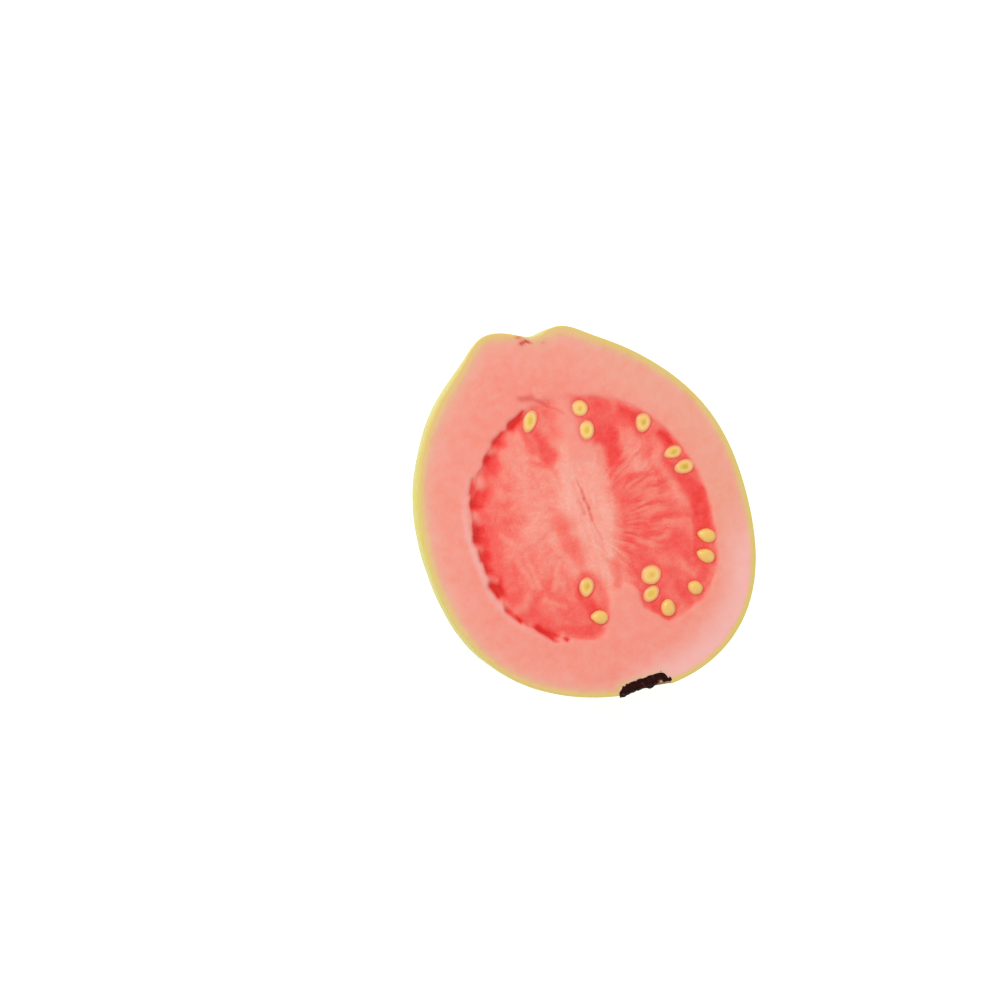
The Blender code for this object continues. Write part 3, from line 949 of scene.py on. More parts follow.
def add_ball(name: str, segments: int, rings: int) -> bpy.types.Object:
    """Adds a ball of radius 1 at the origin, to be shaped.

    Args:
        name: The piece's name.
        segments: How many sides it has, an even number.
        rings: How many steps from pole to pole, an even number.

    Returns:
        The new object.
    """
    deselect()
    bpy.ops.mesh.primitive_uv_sphere_add(segments=segments // 2, ring_count=rings // 2, radius=1.0)
    ball = bpy.context.object
    ball.name = name
    ball.data.name = name
    bpy.ops.object.mode_set(mode="EDIT")
    bpy.ops.mesh.select_all(action="SELECT")
    bpy.ops.mesh.subdivide(number_cuts=1)
    bpy.ops.object.mode_set(mode="OBJECT")
    return ball


def read_points(piece: bpy.types.Object) -> np.ndarray:
    """Returns the places of the piece's vertices as rows."""
    flat = np.empty(len(piece.data.vertices) * 3)
    piece.data.vertices.foreach_get("co", flat)
    return flat.reshape(-1, 3)


def write_points(piece: bpy.types.Object, points: np.ndarray) -> None:
    """Moves the piece's vertices to these places."""
    piece.data.vertices.foreach_set("co", points.ravel())
    piece.data.update()


def write_marks(piece: bpy.types.Object, name: str, *channels: np.ndarray) -> None:
    """Keeps up to four fields with the mesh, as one attribute that its material reads.

    Args:
        piece: The piece.
        name: The attribute's name.
        channels: Its red, green, blue and alpha, one value for each vertex.
    """
    count = len(piece.data.vertices)
    values = np.zeros((count, 4))
    for place, channel in enumerate(channels):
        values[:, place] = channel
    attribute = piece.data.attributes.new(name, "FLOAT_COLOR", "POINT")
    attribute.data.foreach_set("color", values.ravel())


def face_outwards(piece: bpy.types.Object) -> None:
    """Turns every face of the piece outwards."""
    deselect()
    piece.select_set(True)
    bpy.context.view_layer.objects.active = piece
    bpy.ops.object.mode_set(mode="EDIT")
    bpy.ops.mesh.select_all(action="SELECT")
    bpy.ops.mesh.normals_make_consistent(inside=False)
    bpy.ops.object.mode_set(mode="OBJECT")


def slice_level(piece: bpy.types.Object, height: float, side: float) -> None:
    """Slices off what is above a height and closes the piece again.

    Args:
        piece: The piece.
        height: Where to slice, in metres.
        side: 1 to take off what is above, -1 to take off what is below.
    """
    deselect()
    piece.select_set(True)
    bpy.context.view_layer.objects.active = piece
    bpy.ops.object.mode_set(mode="EDIT")
    bpy.ops.mesh.select_all(action="SELECT")
    bpy.ops.mesh.bisect(
        plane_co=(0.0, 0.0, height),
        plane_no=(0.0, 0.0, side),
        use_fill=True,
        clear_outer=True,
        threshold=1e-7,
    )
    bpy.ops.object.mode_set(mode="OBJECT")


def shade(piece: bpy.types.Object, sharpest: float) -> None:
    """Shades the piece smooth, but for edges sharper than this many degrees."""
    deselect()
    piece.select_set(True)
    bpy.context.view_layer.objects.active = piece
    bpy.ops.object.shade_smooth_by_angle(angle=math.radians(sharpest))


def polar_of(points: np.ndarray, rings: int) -> tuple[np.ndarray, np.ndarray]:
    """Reads a ball's points by its own grid.

    Args:
        points: The ball's points.
        rings: How many steps it has from pole to pole.

    Returns:
        The step from the upper pole, and the angle round the ball.
    """
    height = points[:, 2] / np.linalg.norm(points, axis=1)
    level = np.arccos(np.clip(height, -1.0, 1.0))
    return np.rint(level / (math.pi / rings)), np.arctan2(points[:, 1], points[:, 0])


def linear(code: str) -> tuple[float, float, float, float]:
    """Turns an sRGB hex colour into linear light.

    Args:
        code: The colour, such as "#F6A697".

    Returns:
        Red, green, blue and an alpha of 1.
    """
    parts = [int(code[place : place + 2], 16) / 255 for place in (1, 3, 5)]
    light = [part / 12.92 if part <= 0.04045 else ((part + 0.055) / 1.055) ** 2.4 for part in parts]
    return (*light, 1.0)


class Node(Enum):
    """The kinds of node that the finishes are made of."""

    ATTRIBUTE = "ShaderNodeAttribute"
    BUMP = "ShaderNodeBump"
    CELLS = "ShaderNodeTexVoronoi"
    JOIN_VECTOR = "ShaderNodeCombineXYZ"
    MAP_RANGE = "ShaderNodeMapRange"
    MAPPING = "ShaderNodeMapping"
    MATH = "ShaderNodeMath"
    MIX = "ShaderNodeMix"
    NOISE = "ShaderNodeTexNoise"
    PLACE = "ShaderNodeTexCoord"
    RAMP = "ShaderNodeValToRGB"
    SPLIT_COLOUR = "ShaderNodeSeparateColor"
    SPLIT_VECTOR = "ShaderNodeSeparateXYZ"
    VECTOR_MATH = "ShaderNodeVectorMath"


# Most values of a noise lie between these two.
NOISE_SPAN = {"From Min": 0.3, "From Max": 0.7}

Ramp = tuple[tuple[float, str], ...]


def output_of(maker: Any) -> Any:
    """Returns the output that a node gives, or the output itself."""
    if isinstance(maker, bpy.types.NodeSocket):
        return maker
    return next(output for output in maker.outputs if output.enabled)


def add_node(tree: Any, kind: Node, inputs: dict | None = None, **settings: Any) -> Any:
    """Adds a node to a material, sets it up and links it.

    Args:
        tree: The material's node tree.
        kind: The node's kind.
        inputs: A value, a node or an output to link, for each input by its name or number.
        settings: The node's own settings. Stops are a colour ramp's places and colours.

    Returns:
        The new node.
    """
    node = tree.nodes.new(kind.value)
    stops = settings.pop("stops", ())
    for name, value in settings.items():
        setattr(node, name, value)
    if stops:
        marks = node.color_ramp.elements
        marks.remove(marks[1])
        marks[0].position = stops[0][0]
        marks[0].color = linear(stops[0][1])
        for place, code in stops[1:]:
            marks.new(place).color = linear(code)
    for key, value in (inputs or {}).items():
        if isinstance(value, (bpy.types.Node, bpy.types.NodeSocket)):
            tree.links.new(output_of(value), node.inputs[key])
        else:
            node.inputs[key].default_value = value
    return node


def feed(tree: Any, shader: Any, **makers: Any) -> None:
    """Links nodes to the shader's inputs, named with underscores for spaces."""
    for name, maker in makers.items():
        tree.links.new(output_of(maker), shader.inputs[name.replace("_", " ")])


def read_marks(tree: Any, name: str) -> tuple[Any, Any, Any, Any]:
    """Reads the fields that a piece keeps with its mesh.

    Args:
        tree: The material's node tree.
        name: The attribute's name.

    Returns:
        Its red, green, blue and alpha.
    """
    marks = add_node(tree, Node.ATTRIBUTE, attribute_name=name)
    parts = add_node(tree, Node.SPLIT_COLOUR, {"Color": marks.outputs["Color"]}).outputs
    return parts["Red"], parts["Green"], parts["Blue"], marks.outputs["Alpha"]


def new_material(name: str, **values: Any) -> tuple[Any, Any, Any]:
    """Makes a material with constant values on its shader.

    Args:
        name: The material's name.
        values: The shader's inputs, with underscores for spaces.

    Returns:
        The material, its node tree and its shader.
    """
    material = bpy.data.materials.new(name)
    material.use_nodes = True
    tree = material.node_tree
    shader = tree.nodes["Principled BSDF"]
    for key, value in values.items():
        shader.inputs[key.replace("_", " ")].default_value = value
    return material, tree, shader


@dataclass(frozen=True)
class CutGuavaFlesh:
    """Guava flesh and pulp, freshly cut by a knife: moist, finely grained and a little see-through.

    Light that goes in softens every edge, and the film of juice gives small soft glints. Fibres,
    veins and grain vary how deep the red is, each by its own contrast.
    """

    grain: float = 0.55 * MM
    mottle: float = 2.4 * MM
    waver: float = 6.0 * MM
    fibre_spacing: float = 1.35 * MM
    fibre_length: float = 7.0 * MM
    fan_reach: float = 18.0 * MM
    vein: float = 1.6 * MM
    vein_width: float = 0.045
    scatter: float = 1.3 * MM
    fibre_swing: float = 0.16
    fibre_contrast: float = 0.24
    vein_contrast: float = 0.18
    vein_free_tone: float = 0.95
    grain_contrast: float = 0.045
    mottle_contrast: float = 0.07
    rim_texture: float = 0.6
    pale_texture: float = 1.5
    pale_least: float = 0.08
    mark_strength: float = 1.5
    flesh_roughness: float = 0.42
    pulp_roughness: float = 0.27
    patchy_gloss: float = 0.8
    grain_height: float = 0.06 * MM
    mottle_height: float = 0.25 * MM
    fibre_height: float = 0.22 * MM
    pulp_colours: Ramp = (
        (0.0, "#FBAF9E"),
        (0.22, "#FA9B89"),
        (0.45, "#F97F6F"),
        (0.62, "#F7665B"),
        (0.78, "#F54D46"),
        (0.90, "#EE332C"),
        (1.0, "#DF1D16"),
    )
    flesh_colours: Ramp = (
        (0.0, "#F7907E"),
        (0.30, "#F49C86"),
        (0.52, "#EDA589"),
        (0.68, "#E6B27E"),
        (0.84, "#E0C66C"),
        (1.0, "#D4CB52"),
    )
    pale_and_highlight_tint: str = "#F6B7AF"
    stain_and_shade_colours: Ramp = ((0.0, "#EE6259"), (0.35, "#DC4A42"), (0.6, "#B92F2C"), (0.9, "#7E1B1F"))

    def make(self) -> bpy.types.Material:
        """Returns the finished material."""
        material, tree, shader = new_material(
            "cut_guava_flesh",
            IOR=1.38,
            Subsurface_Weight=0.22,
            Subsurface_Radius=(1.0, 0.45, 0.35),
            Subsurface_Scale=self.scatter,
            Specular_IOR_Level=0.45,
            Coat_Weight=0.12,
            Coat_Roughness=0.18,
        )
        place = add_node(tree, Node.PLACE).outputs["Object"]
        cover, tone, fan, _ = read_marks(tree, "pulp_marks")
        # The paleness holds a painted highlight along the lip of the torn edge.
        rim, pale, dark, _ = read_marks(tree, "face_marks")
        grain = add_node(tree, Node.NOISE, {"Vector": place, "Scale": 1 / self.grain, "Detail": 3.0})
        mottle = add_node(tree, Node.NOISE, {"Vector": place, "Scale": 1 / self.mottle, "Detail": 4.0})
        speckle = add_node(
            tree,
            Node.MAP_RANGE,
            {
                "Value": grain,
                **NOISE_SPAN,
                "To Min": -self.grain_contrast,
                "To Max": self.grain_contrast,
            },
        )
        cloud = add_node(
            tree,
            Node.MAP_RANGE,
            {
                "Value": mottle,
                **NOISE_SPAN,
                "To Min": -self.mottle_contrast,
                "To Max": self.mottle_contrast,
            },
        )
        texture = add_node(tree, Node.MATH, {0: speckle, 1: cloud}, operation="ADD")
        fibres = self.fibres(tree, place, fan)

        pulp = self.pulp(tree, tone, fibres, self.veins(tree, place, tone), texture)
        flesh = self.flesh(tree, rim, pale, texture)
        colour = add_node(tree, Node.MIX, {0: cover, 6: flesh, 7: pulp}, data_type="RGBA")
        # The darker tint holds the stains and the crack, and also the painted shade beside the seeds and
        # the painted shadow in the crevice.
        tint = add_node(tree, Node.RAMP, {"Fac": dark}, stops=self.stain_and_shade_colours)
        share = add_node(
            tree, Node.MATH, {0: dark, 1: self.mark_strength}, operation="MULTIPLY", use_clamp=True
        )
        marked = add_node(tree, Node.MIX, {0: share, 6: colour, 7: tint}, data_type="RGBA")

        wetness = add_node(
            tree,
            Node.MAP_RANGE,
            {
                "Value": cover,
                "From Min": 0.0,
                "From Max": 1.0,
                "To Min": self.flesh_roughness,
                "To Max": self.pulp_roughness,
            },
        )
        roughness = add_node(
            tree, Node.MATH, {0: cloud, 1: self.patchy_gloss, 2: wetness}, operation="MULTIPLY_ADD"
        )

        bump = None
        for height, strength, distance in (
            (grain, 0.35, self.grain_height),
            (mottle, 0.4, self.mottle_height),
            (fibres, 0.6, self.fibre_height),
        ):
            inputs = {"Height": height, "Strength": strength, "Distance": distance}
            if bump:
                inputs["Normal"] = bump
            bump = add_node(tree, Node.BUMP, inputs)
        feed(tree, shader, Base_Color=marked, Roughness=roughness, Normal=bump)
        return material

    def fibres(self, tree: Any, place: Any, fan: Any) -> Any:
        """Draws the fibres that fan out from the core.

        Args:
            tree: The material's node tree.
            place: The place on the piece.
            fan: How strongly the fan shows.

        Returns:
            The fibres, -0.5 on the palest and 0.5 between them.
        """
        hub = (FACE.hub_x * MM, FACE.hub_y * MM, FORM.cut_height)
        spoke = add_node(tree, Node.VECTOR_MATH, {0: place, 1: hub}, operation="SUBTRACT")
        reach = add_node(tree, Node.VECTOR_MATH, {0: spoke}, operation="LENGTH")
        parts = add_node(tree, Node.SPLIT_VECTOR, {"Vector": spoke}).outputs
        turn = add_node(tree, Node.MATH, {0: parts["Y"], 1: parts["X"]}, operation="ARCTAN2")
        waver = add_node(tree, Node.NOISE, {"Vector": place, "Scale": 1 / self.waver, "Detail": 1.0})
        swing = add_node(
            tree, Node.MATH, {0: waver, 1: self.fibre_swing, 2: turn}, operation="MULTIPLY_ADD"
        )
        fibres_a_turn = self.fan_reach / self.fibre_spacing
        across = add_node(tree, Node.MATH, {0: swing, 1: fibres_a_turn}, operation="MULTIPLY")
        along = add_node(tree, Node.MATH, {0: reach, 1: 1 / self.fibre_length}, operation="MULTIPLY")
        run = add_node(tree, Node.JOIN_VECTOR, {"X": across, "Y": along})
        fibre = add_node(
            tree,
            Node.NOISE,
            {"Vector": run, "Scale": 1.0, "Detail": 1.0, "Roughness": 0.5},
            noise_dimensions="2D",
        )
        clear = add_node(
            tree,
            Node.MAP_RANGE,
            {"Value": fibre, "From Min": 0.35, "From Max": 0.65, "To Min": -0.5, "To Max": 0.5},
        )
        return add_node(tree, Node.MATH, {0: clear, 1: fan}, operation="MULTIPLY")

    def veins(self, tree: Any, place: Any, tone: Any) -> Any:
        """Draws the net of pale veins, which fades out where the red is deep.

        Args:
            tree: The material's node tree.
            place: The place on the piece.
            tone: How deep the red is.

        Returns:
            The veins, 1 on a vein and 0 off it.
        """
        net = add_node(
            tree, Node.NOISE, {"Vector": place, "Scale": 1 / self.vein, "Detail": 1.5, "Distortion": 0.7}
        )
        off = add_node(tree, Node.MATH, {0: net, 1: 0.5}, operation="SUBTRACT")
        off = add_node(tree, Node.MATH, {0: off}, operation="ABSOLUTE")
        line = add_node(
            tree,
            Node.MAP_RANGE,
            {
                "Value": off,
                "From Min": 0.0,
                "From Max": self.vein_width,
                "To Min": 1.0,
                "To Max": 0.0,
            },
        )
        lightness = add_node(
            tree, Node.MATH, {0: self.vein_free_tone, 1: tone}, operation="SUBTRACT", use_clamp=True
        )
        here = add_node(tree, Node.MATH, {0: line, 1: lightness}, operation="MULTIPLY")
        return here

    def pulp(self, tree: Any, tone: Any, fibres: Any, veins: Any, texture: Any) -> Any:
        """Colours the pulp.

        Args:
            tree: The material's node tree.
            tone: How deep the red is.
            fibres: The fan of fibres.
            veins: The net of veins.
            texture: The grain and mottle.

        Returns:
            The colour.
        """
        fibred = add_node(
            tree, Node.MATH, {0: fibres, 1: self.fibre_contrast, 2: tone}, operation="MULTIPLY_ADD"
        )
        veined = add_node(
            tree, Node.MATH, {0: veins, 1: -self.vein_contrast, 2: fibred}, operation="MULTIPLY_ADD"
        )
        full = add_node(tree, Node.MATH, {0: veined, 1: texture}, operation="ADD")
        return add_node(tree, Node.RAMP, {"Fac": full}, stops=self.pulp_colours)

    def flesh(self, tree: Any, rim: Any, pale: Any, texture: Any) -> Any:
        """Colours the flesh, from pink to the yellow rim, with its paler parts and the painted highlight
        along the torn edge's lip.

        Args:
            tree: The material's node tree.
            rim: How far the flesh has turned to rim.
            pale: How pale it is, with the painted highlight on the torn edge's lip.
            texture: The grain and mottle.

        Returns:
            The colour.
        """
        rim_full = add_node(
            tree, Node.MATH, {0: texture, 1: self.rim_texture, 2: rim}, operation="MULTIPLY_ADD"
        )
        lift = add_node(tree, Node.MATH, {0: pale, 1: self.pale_least}, operation="ADD")
        pale_full = add_node(
            tree,
            Node.MATH,
            {0: texture, 1: self.pale_texture, 2: lift},
            operation="MULTIPLY_ADD",
            use_clamp=True,
        )
        colour = add_node(tree, Node.RAMP, {"Fac": rim_full}, stops=self.flesh_colours)
        return add_node(
            tree, Node.MIX, {0: pale_full, 6: colour, 7: linear(self.pale_and_highlight_tint)}, data_type="RGBA"
        )


@dataclass(frozen=True)
class GuavaSkin:
    """The waxy skin of a ripe guava, grown and unpolished: uneven yellow-green with fine pores.

    Its low dimples catch soft, broken highlights.
    """

    mottle: float = 11.0 * MM
    dimple: float = 3.2 * MM
    pore: float = 0.9 * MM
    streak: float = 5.0 * MM
    streak_stretch: float = 0.22
    scatter: float = 0.8 * MM
    mottle_contrast: float = 0.9
    streak_contrast: float = 0.5
    pore_contrast: float = 0.22
    glossy: float = 0.34
    dull: float = 0.46
    dimple_height: float = 0.5 * MM
    pore_depth: float = 0.05 * MM
    colours: Ramp = (
        (0.0, "#839811"),
        (0.35, "#9CAE1A"),
        (0.6, "#B0BB29"),
        (0.8, "#C2C842"),
        (1.0, "#D2D466"),
    )
    pore_tint: str = "#6F820E"
    golden: str = "#CDB540"
    scar: str = "#8A5A2C"

    def make(self) -> bpy.types.Material:
        """Returns the finished material."""
        material, tree, shader = new_material(
            "waxy_guava_skin",
            IOR=1.45,
            Subsurface_Weight=0.12,
            Subsurface_Radius=(0.8, 1.0, 0.3),
            Subsurface_Scale=self.scatter,
            Coat_Weight=0.15,
            Coat_Roughness=0.25,
        )
        place = add_node(tree, Node.PLACE).outputs["Object"]
        # The third mark is the skin's lightness: random lighter patches, less a painted shade that deepens
        # below the cut.
        near_cut, scar, light, _ = read_marks(tree, "skin_marks")
        mottle = add_node(
            tree, Node.NOISE, {"Vector": place, "Scale": 1 / self.mottle, "Detail": 5.0, "Roughness": 0.6}
        )
        drawn = add_node(tree, Node.MAPPING, {"Vector": place, "Scale": (1.0, self.streak_stretch, 1.0)})
        streak = add_node(tree, Node.NOISE, {"Vector": drawn, "Scale": 1 / self.streak, "Detail": 3.0})
        cells = add_node(tree, Node.CELLS, {"Vector": place, "Scale": 1 / self.pore})
        pore = add_node(
            tree,
            Node.MAP_RANGE,
            {"Value": cells, "From Min": 0.05, "From Max": 0.32, "To Min": 1.0, "To Max": 0.0},
        )
        blend = add_node(
            tree, Node.MATH, {0: mottle, 1: self.mottle_contrast, 2: light}, operation="MULTIPLY_ADD"
        )
        streaked = add_node(
            tree, Node.MATH, {0: streak, 1: self.streak_contrast, 2: blend}, operation="MULTIPLY_ADD"
        )
        level = add_node(tree, Node.MAP_RANGE, {"Value": streaked, "From Min": 0.35, "From Max": 1.35})
        colour = add_node(tree, Node.RAMP, {"Fac": level}, stops=self.colours)
        share = add_node(tree, Node.MATH, {0: pore, 1: self.pore_contrast}, operation="MULTIPLY")
        for cover, tint in (
            (share, self.pore_tint),
            (near_cut, self.golden),
            (scar, self.scar),
        ):
            colour = add_node(tree, Node.MIX, {0: cover, 6: colour, 7: linear(tint)}, data_type="RGBA")

        roughness = add_node(
            tree,
            Node.MAP_RANGE,
            {"Value": streak, **NOISE_SPAN, "To Min": self.glossy, "To Max": self.dull},
        )
        dimples = add_node(tree, Node.NOISE, {"Vector": place, "Scale": 1 / self.dimple, "Detail": 2.0})
        dimpled = add_node(
            tree, Node.BUMP, {"Height": dimples, "Strength": 0.5, "Distance": self.dimple_height}
        )
        pored = add_node(
            tree,
            Node.BUMP,
            {
                "Height": pore,
                "Strength": 0.35,
                "Distance": self.pore_depth,
                "Normal": dimpled,
            },
            invert=True,
        )
        feed(tree, shader, Base_Color=colour, Roughness=roughness, Normal=pored)
        return material


@dataclass(frozen=True)
class GuavaSeedCoat:
    """The hard coat of a guava seed, woody and wet with juice: cream rim, olive-amber kernel.

    The hardness gives a tighter glint than the pulp's.
    """

    grain: float = 0.45 * MM
    scatter: float = 0.5 * MM
    grain_warmth: float = 0.2
    grain_olive: float = 0.15
    glossy: float = 0.24
    dull: float = 0.36
    grain_height: float = 0.05 * MM
    rim_colours: Ramp = ((0.0, "#FDD37E"), (0.5, "#FBC97A"), (1.0, "#F6B86F"))
    kernel: str = "#EDC94A"
    kernel_deep: str = "#BF921F"
    contact: str = "#F0986A"

    def make(self) -> bpy.types.Material:
        """Returns the finished material."""
        material, tree, shader = new_material(
            "guava_seed_coat",
            IOR=1.5,
            Subsurface_Weight=0.15,
            Subsurface_Radius=(1.0, 0.7, 0.3),
            Subsurface_Scale=self.scatter,
            Coat_Weight=0.18,
            Coat_Roughness=0.24,
        )
        place = add_node(tree, Node.PLACE).outputs["Object"]
        kernel, warmth, low, olive = read_marks(tree, "seed_marks")
        grain = add_node(tree, Node.NOISE, {"Vector": place, "Scale": 1 / self.grain, "Detail": 3.0})
        uneven = add_node(
            tree,
            Node.MAP_RANGE,
            {
                "Value": grain,
                **NOISE_SPAN,
                "To Min": -self.grain_warmth,
                "To Max": self.grain_warmth,
            },
        )
        warm = add_node(tree, Node.MATH, {0: uneven, 1: warmth}, operation="ADD")
        rim = add_node(tree, Node.RAMP, {"Fac": warm}, stops=self.rim_colours)
        deep = add_node(
            tree,
            Node.MATH,
            {0: grain, 1: self.grain_olive, 2: olive},
            operation="MULTIPLY_ADD",
            use_clamp=True,
        )
        core = add_node(
            tree,
            Node.MIX,
            {0: deep, 6: linear(self.kernel), 7: linear(self.kernel_deep)},
            data_type="RGBA",
        )
        filled = add_node(tree, Node.MIX, {0: kernel, 6: rim, 7: core}, data_type="RGBA")
        edged = add_node(tree, Node.MIX, {0: low, 6: filled, 7: linear(self.contact)}, data_type="RGBA")
        roughness = add_node(
            tree,
            Node.MAP_RANGE,
            {"Value": grain, **NOISE_SPAN, "To Min": self.glossy, "To Max": self.dull},
        )
        bump = add_node(
            tree, Node.BUMP, {"Height": grain, "Strength": 0.4, "Distance": self.grain_height}
        )
        feed(tree, shader, Base_Color=edged, Roughness=roughness, Normal=bump)
        return material


@dataclass(frozen=True)
class DryCalyx:
    """The dead calyx, withered on the fruit: brittle, near-black brown and quite dull.

    Torn ends show a little of the paler, pinkish-tan tissue.
    """

    fibre: float = 0.35 * MM
    fibre_stretch: float = 0.25
    crumb: float = 0.8 * MM
    torn_lift: float = 0.35
    glossy: float = 0.7
    dull: float = 0.92
    fibre_height: float = 0.12 * MM
    crumb_height: float = 0.35 * MM
    colours: Ramp = (
        (0.0, "#120303"),
        (0.5, "#260A07"),
        (0.68, "#3A140E"),
        (0.85, "#8A4A3C"),
        (0.95, "#D9A390"),
    )

    def make(self) -> bpy.types.Material:
        """Returns the finished material."""
        material, tree, shader = new_material("dry_calyx", IOR=1.45, Specular_IOR_Level=0.12)
        place = add_node(tree, Node.PLACE).outputs["Object"]
        torn, _, _, _ = read_marks(tree, "calyx_marks")
        crumb = add_node(
            tree, Node.NOISE, {"Vector": place, "Scale": 1 / self.crumb, "Detail": 4.0, "Roughness": 0.65}
        )
        level = add_node(
            tree, Node.MATH, {0: torn, 1: self.torn_lift, 2: crumb}, operation="MULTIPLY_ADD"
        )
        colour = add_node(tree, Node.RAMP, {"Fac": level}, stops=self.colours)
        roughness = add_node(
            tree,
            Node.MAP_RANGE,
            {"Value": crumb, **NOISE_SPAN, "To Min": self.glossy, "To Max": self.dull},
        )
        drawn = add_node(tree, Node.MAPPING, {"Vector": place, "Scale": (1.0, self.fibre_stretch, 1.0)})
        fibre = add_node(tree, Node.NOISE, {"Vector": drawn, "Scale": 1 / self.fibre, "Detail": 2.0})
        fibred = add_node(
            tree, Node.BUMP, {"Height": fibre, "Strength": 0.8, "Distance": self.fibre_height}
        )
        crumbled = add_node(
            tree,
            Node.BUMP,
            {
                "Height": crumb,
                "Strength": 0.9,
                "Distance": self.crumb_height,
                "Normal": fibred,
            },
        )
        feed(tree, shader, Base_Color=colour, Roughness=roughness, Normal=crumbled)
        return material


@dataclass(frozen=True)
class PaperSweep:
    """Matt white photographic paper, pressed smooth: pale and without a pattern to the eye."""

    fibre: float = 1.5 * MM
    glow: float = 0.48
    colours: Ramp = ((0.3, "#F2F2F2"), (0.7, "#F6F6F6"))

    def make(self) -> bpy.types.Material:
        """Returns the finished material."""
        material, tree, shader = new_material(
            "white_paper",
            Roughness=0.9,
            Specular_IOR_Level=0.1,
            Emission_Color=(1.0, 1.0, 1.0, 1.0),
            Emission_Strength=self.glow,
        )
        place = add_node(tree, Node.PLACE).outputs["Object"]
        fibre = add_node(tree, Node.NOISE, {"Vector": place, "Scale": 1 / self.fibre})
        colour = add_node(tree, Node.RAMP, {"Fac": fibre}, stops=self.colours)
        feed(tree, shader, Base_Color=colour)
        return material


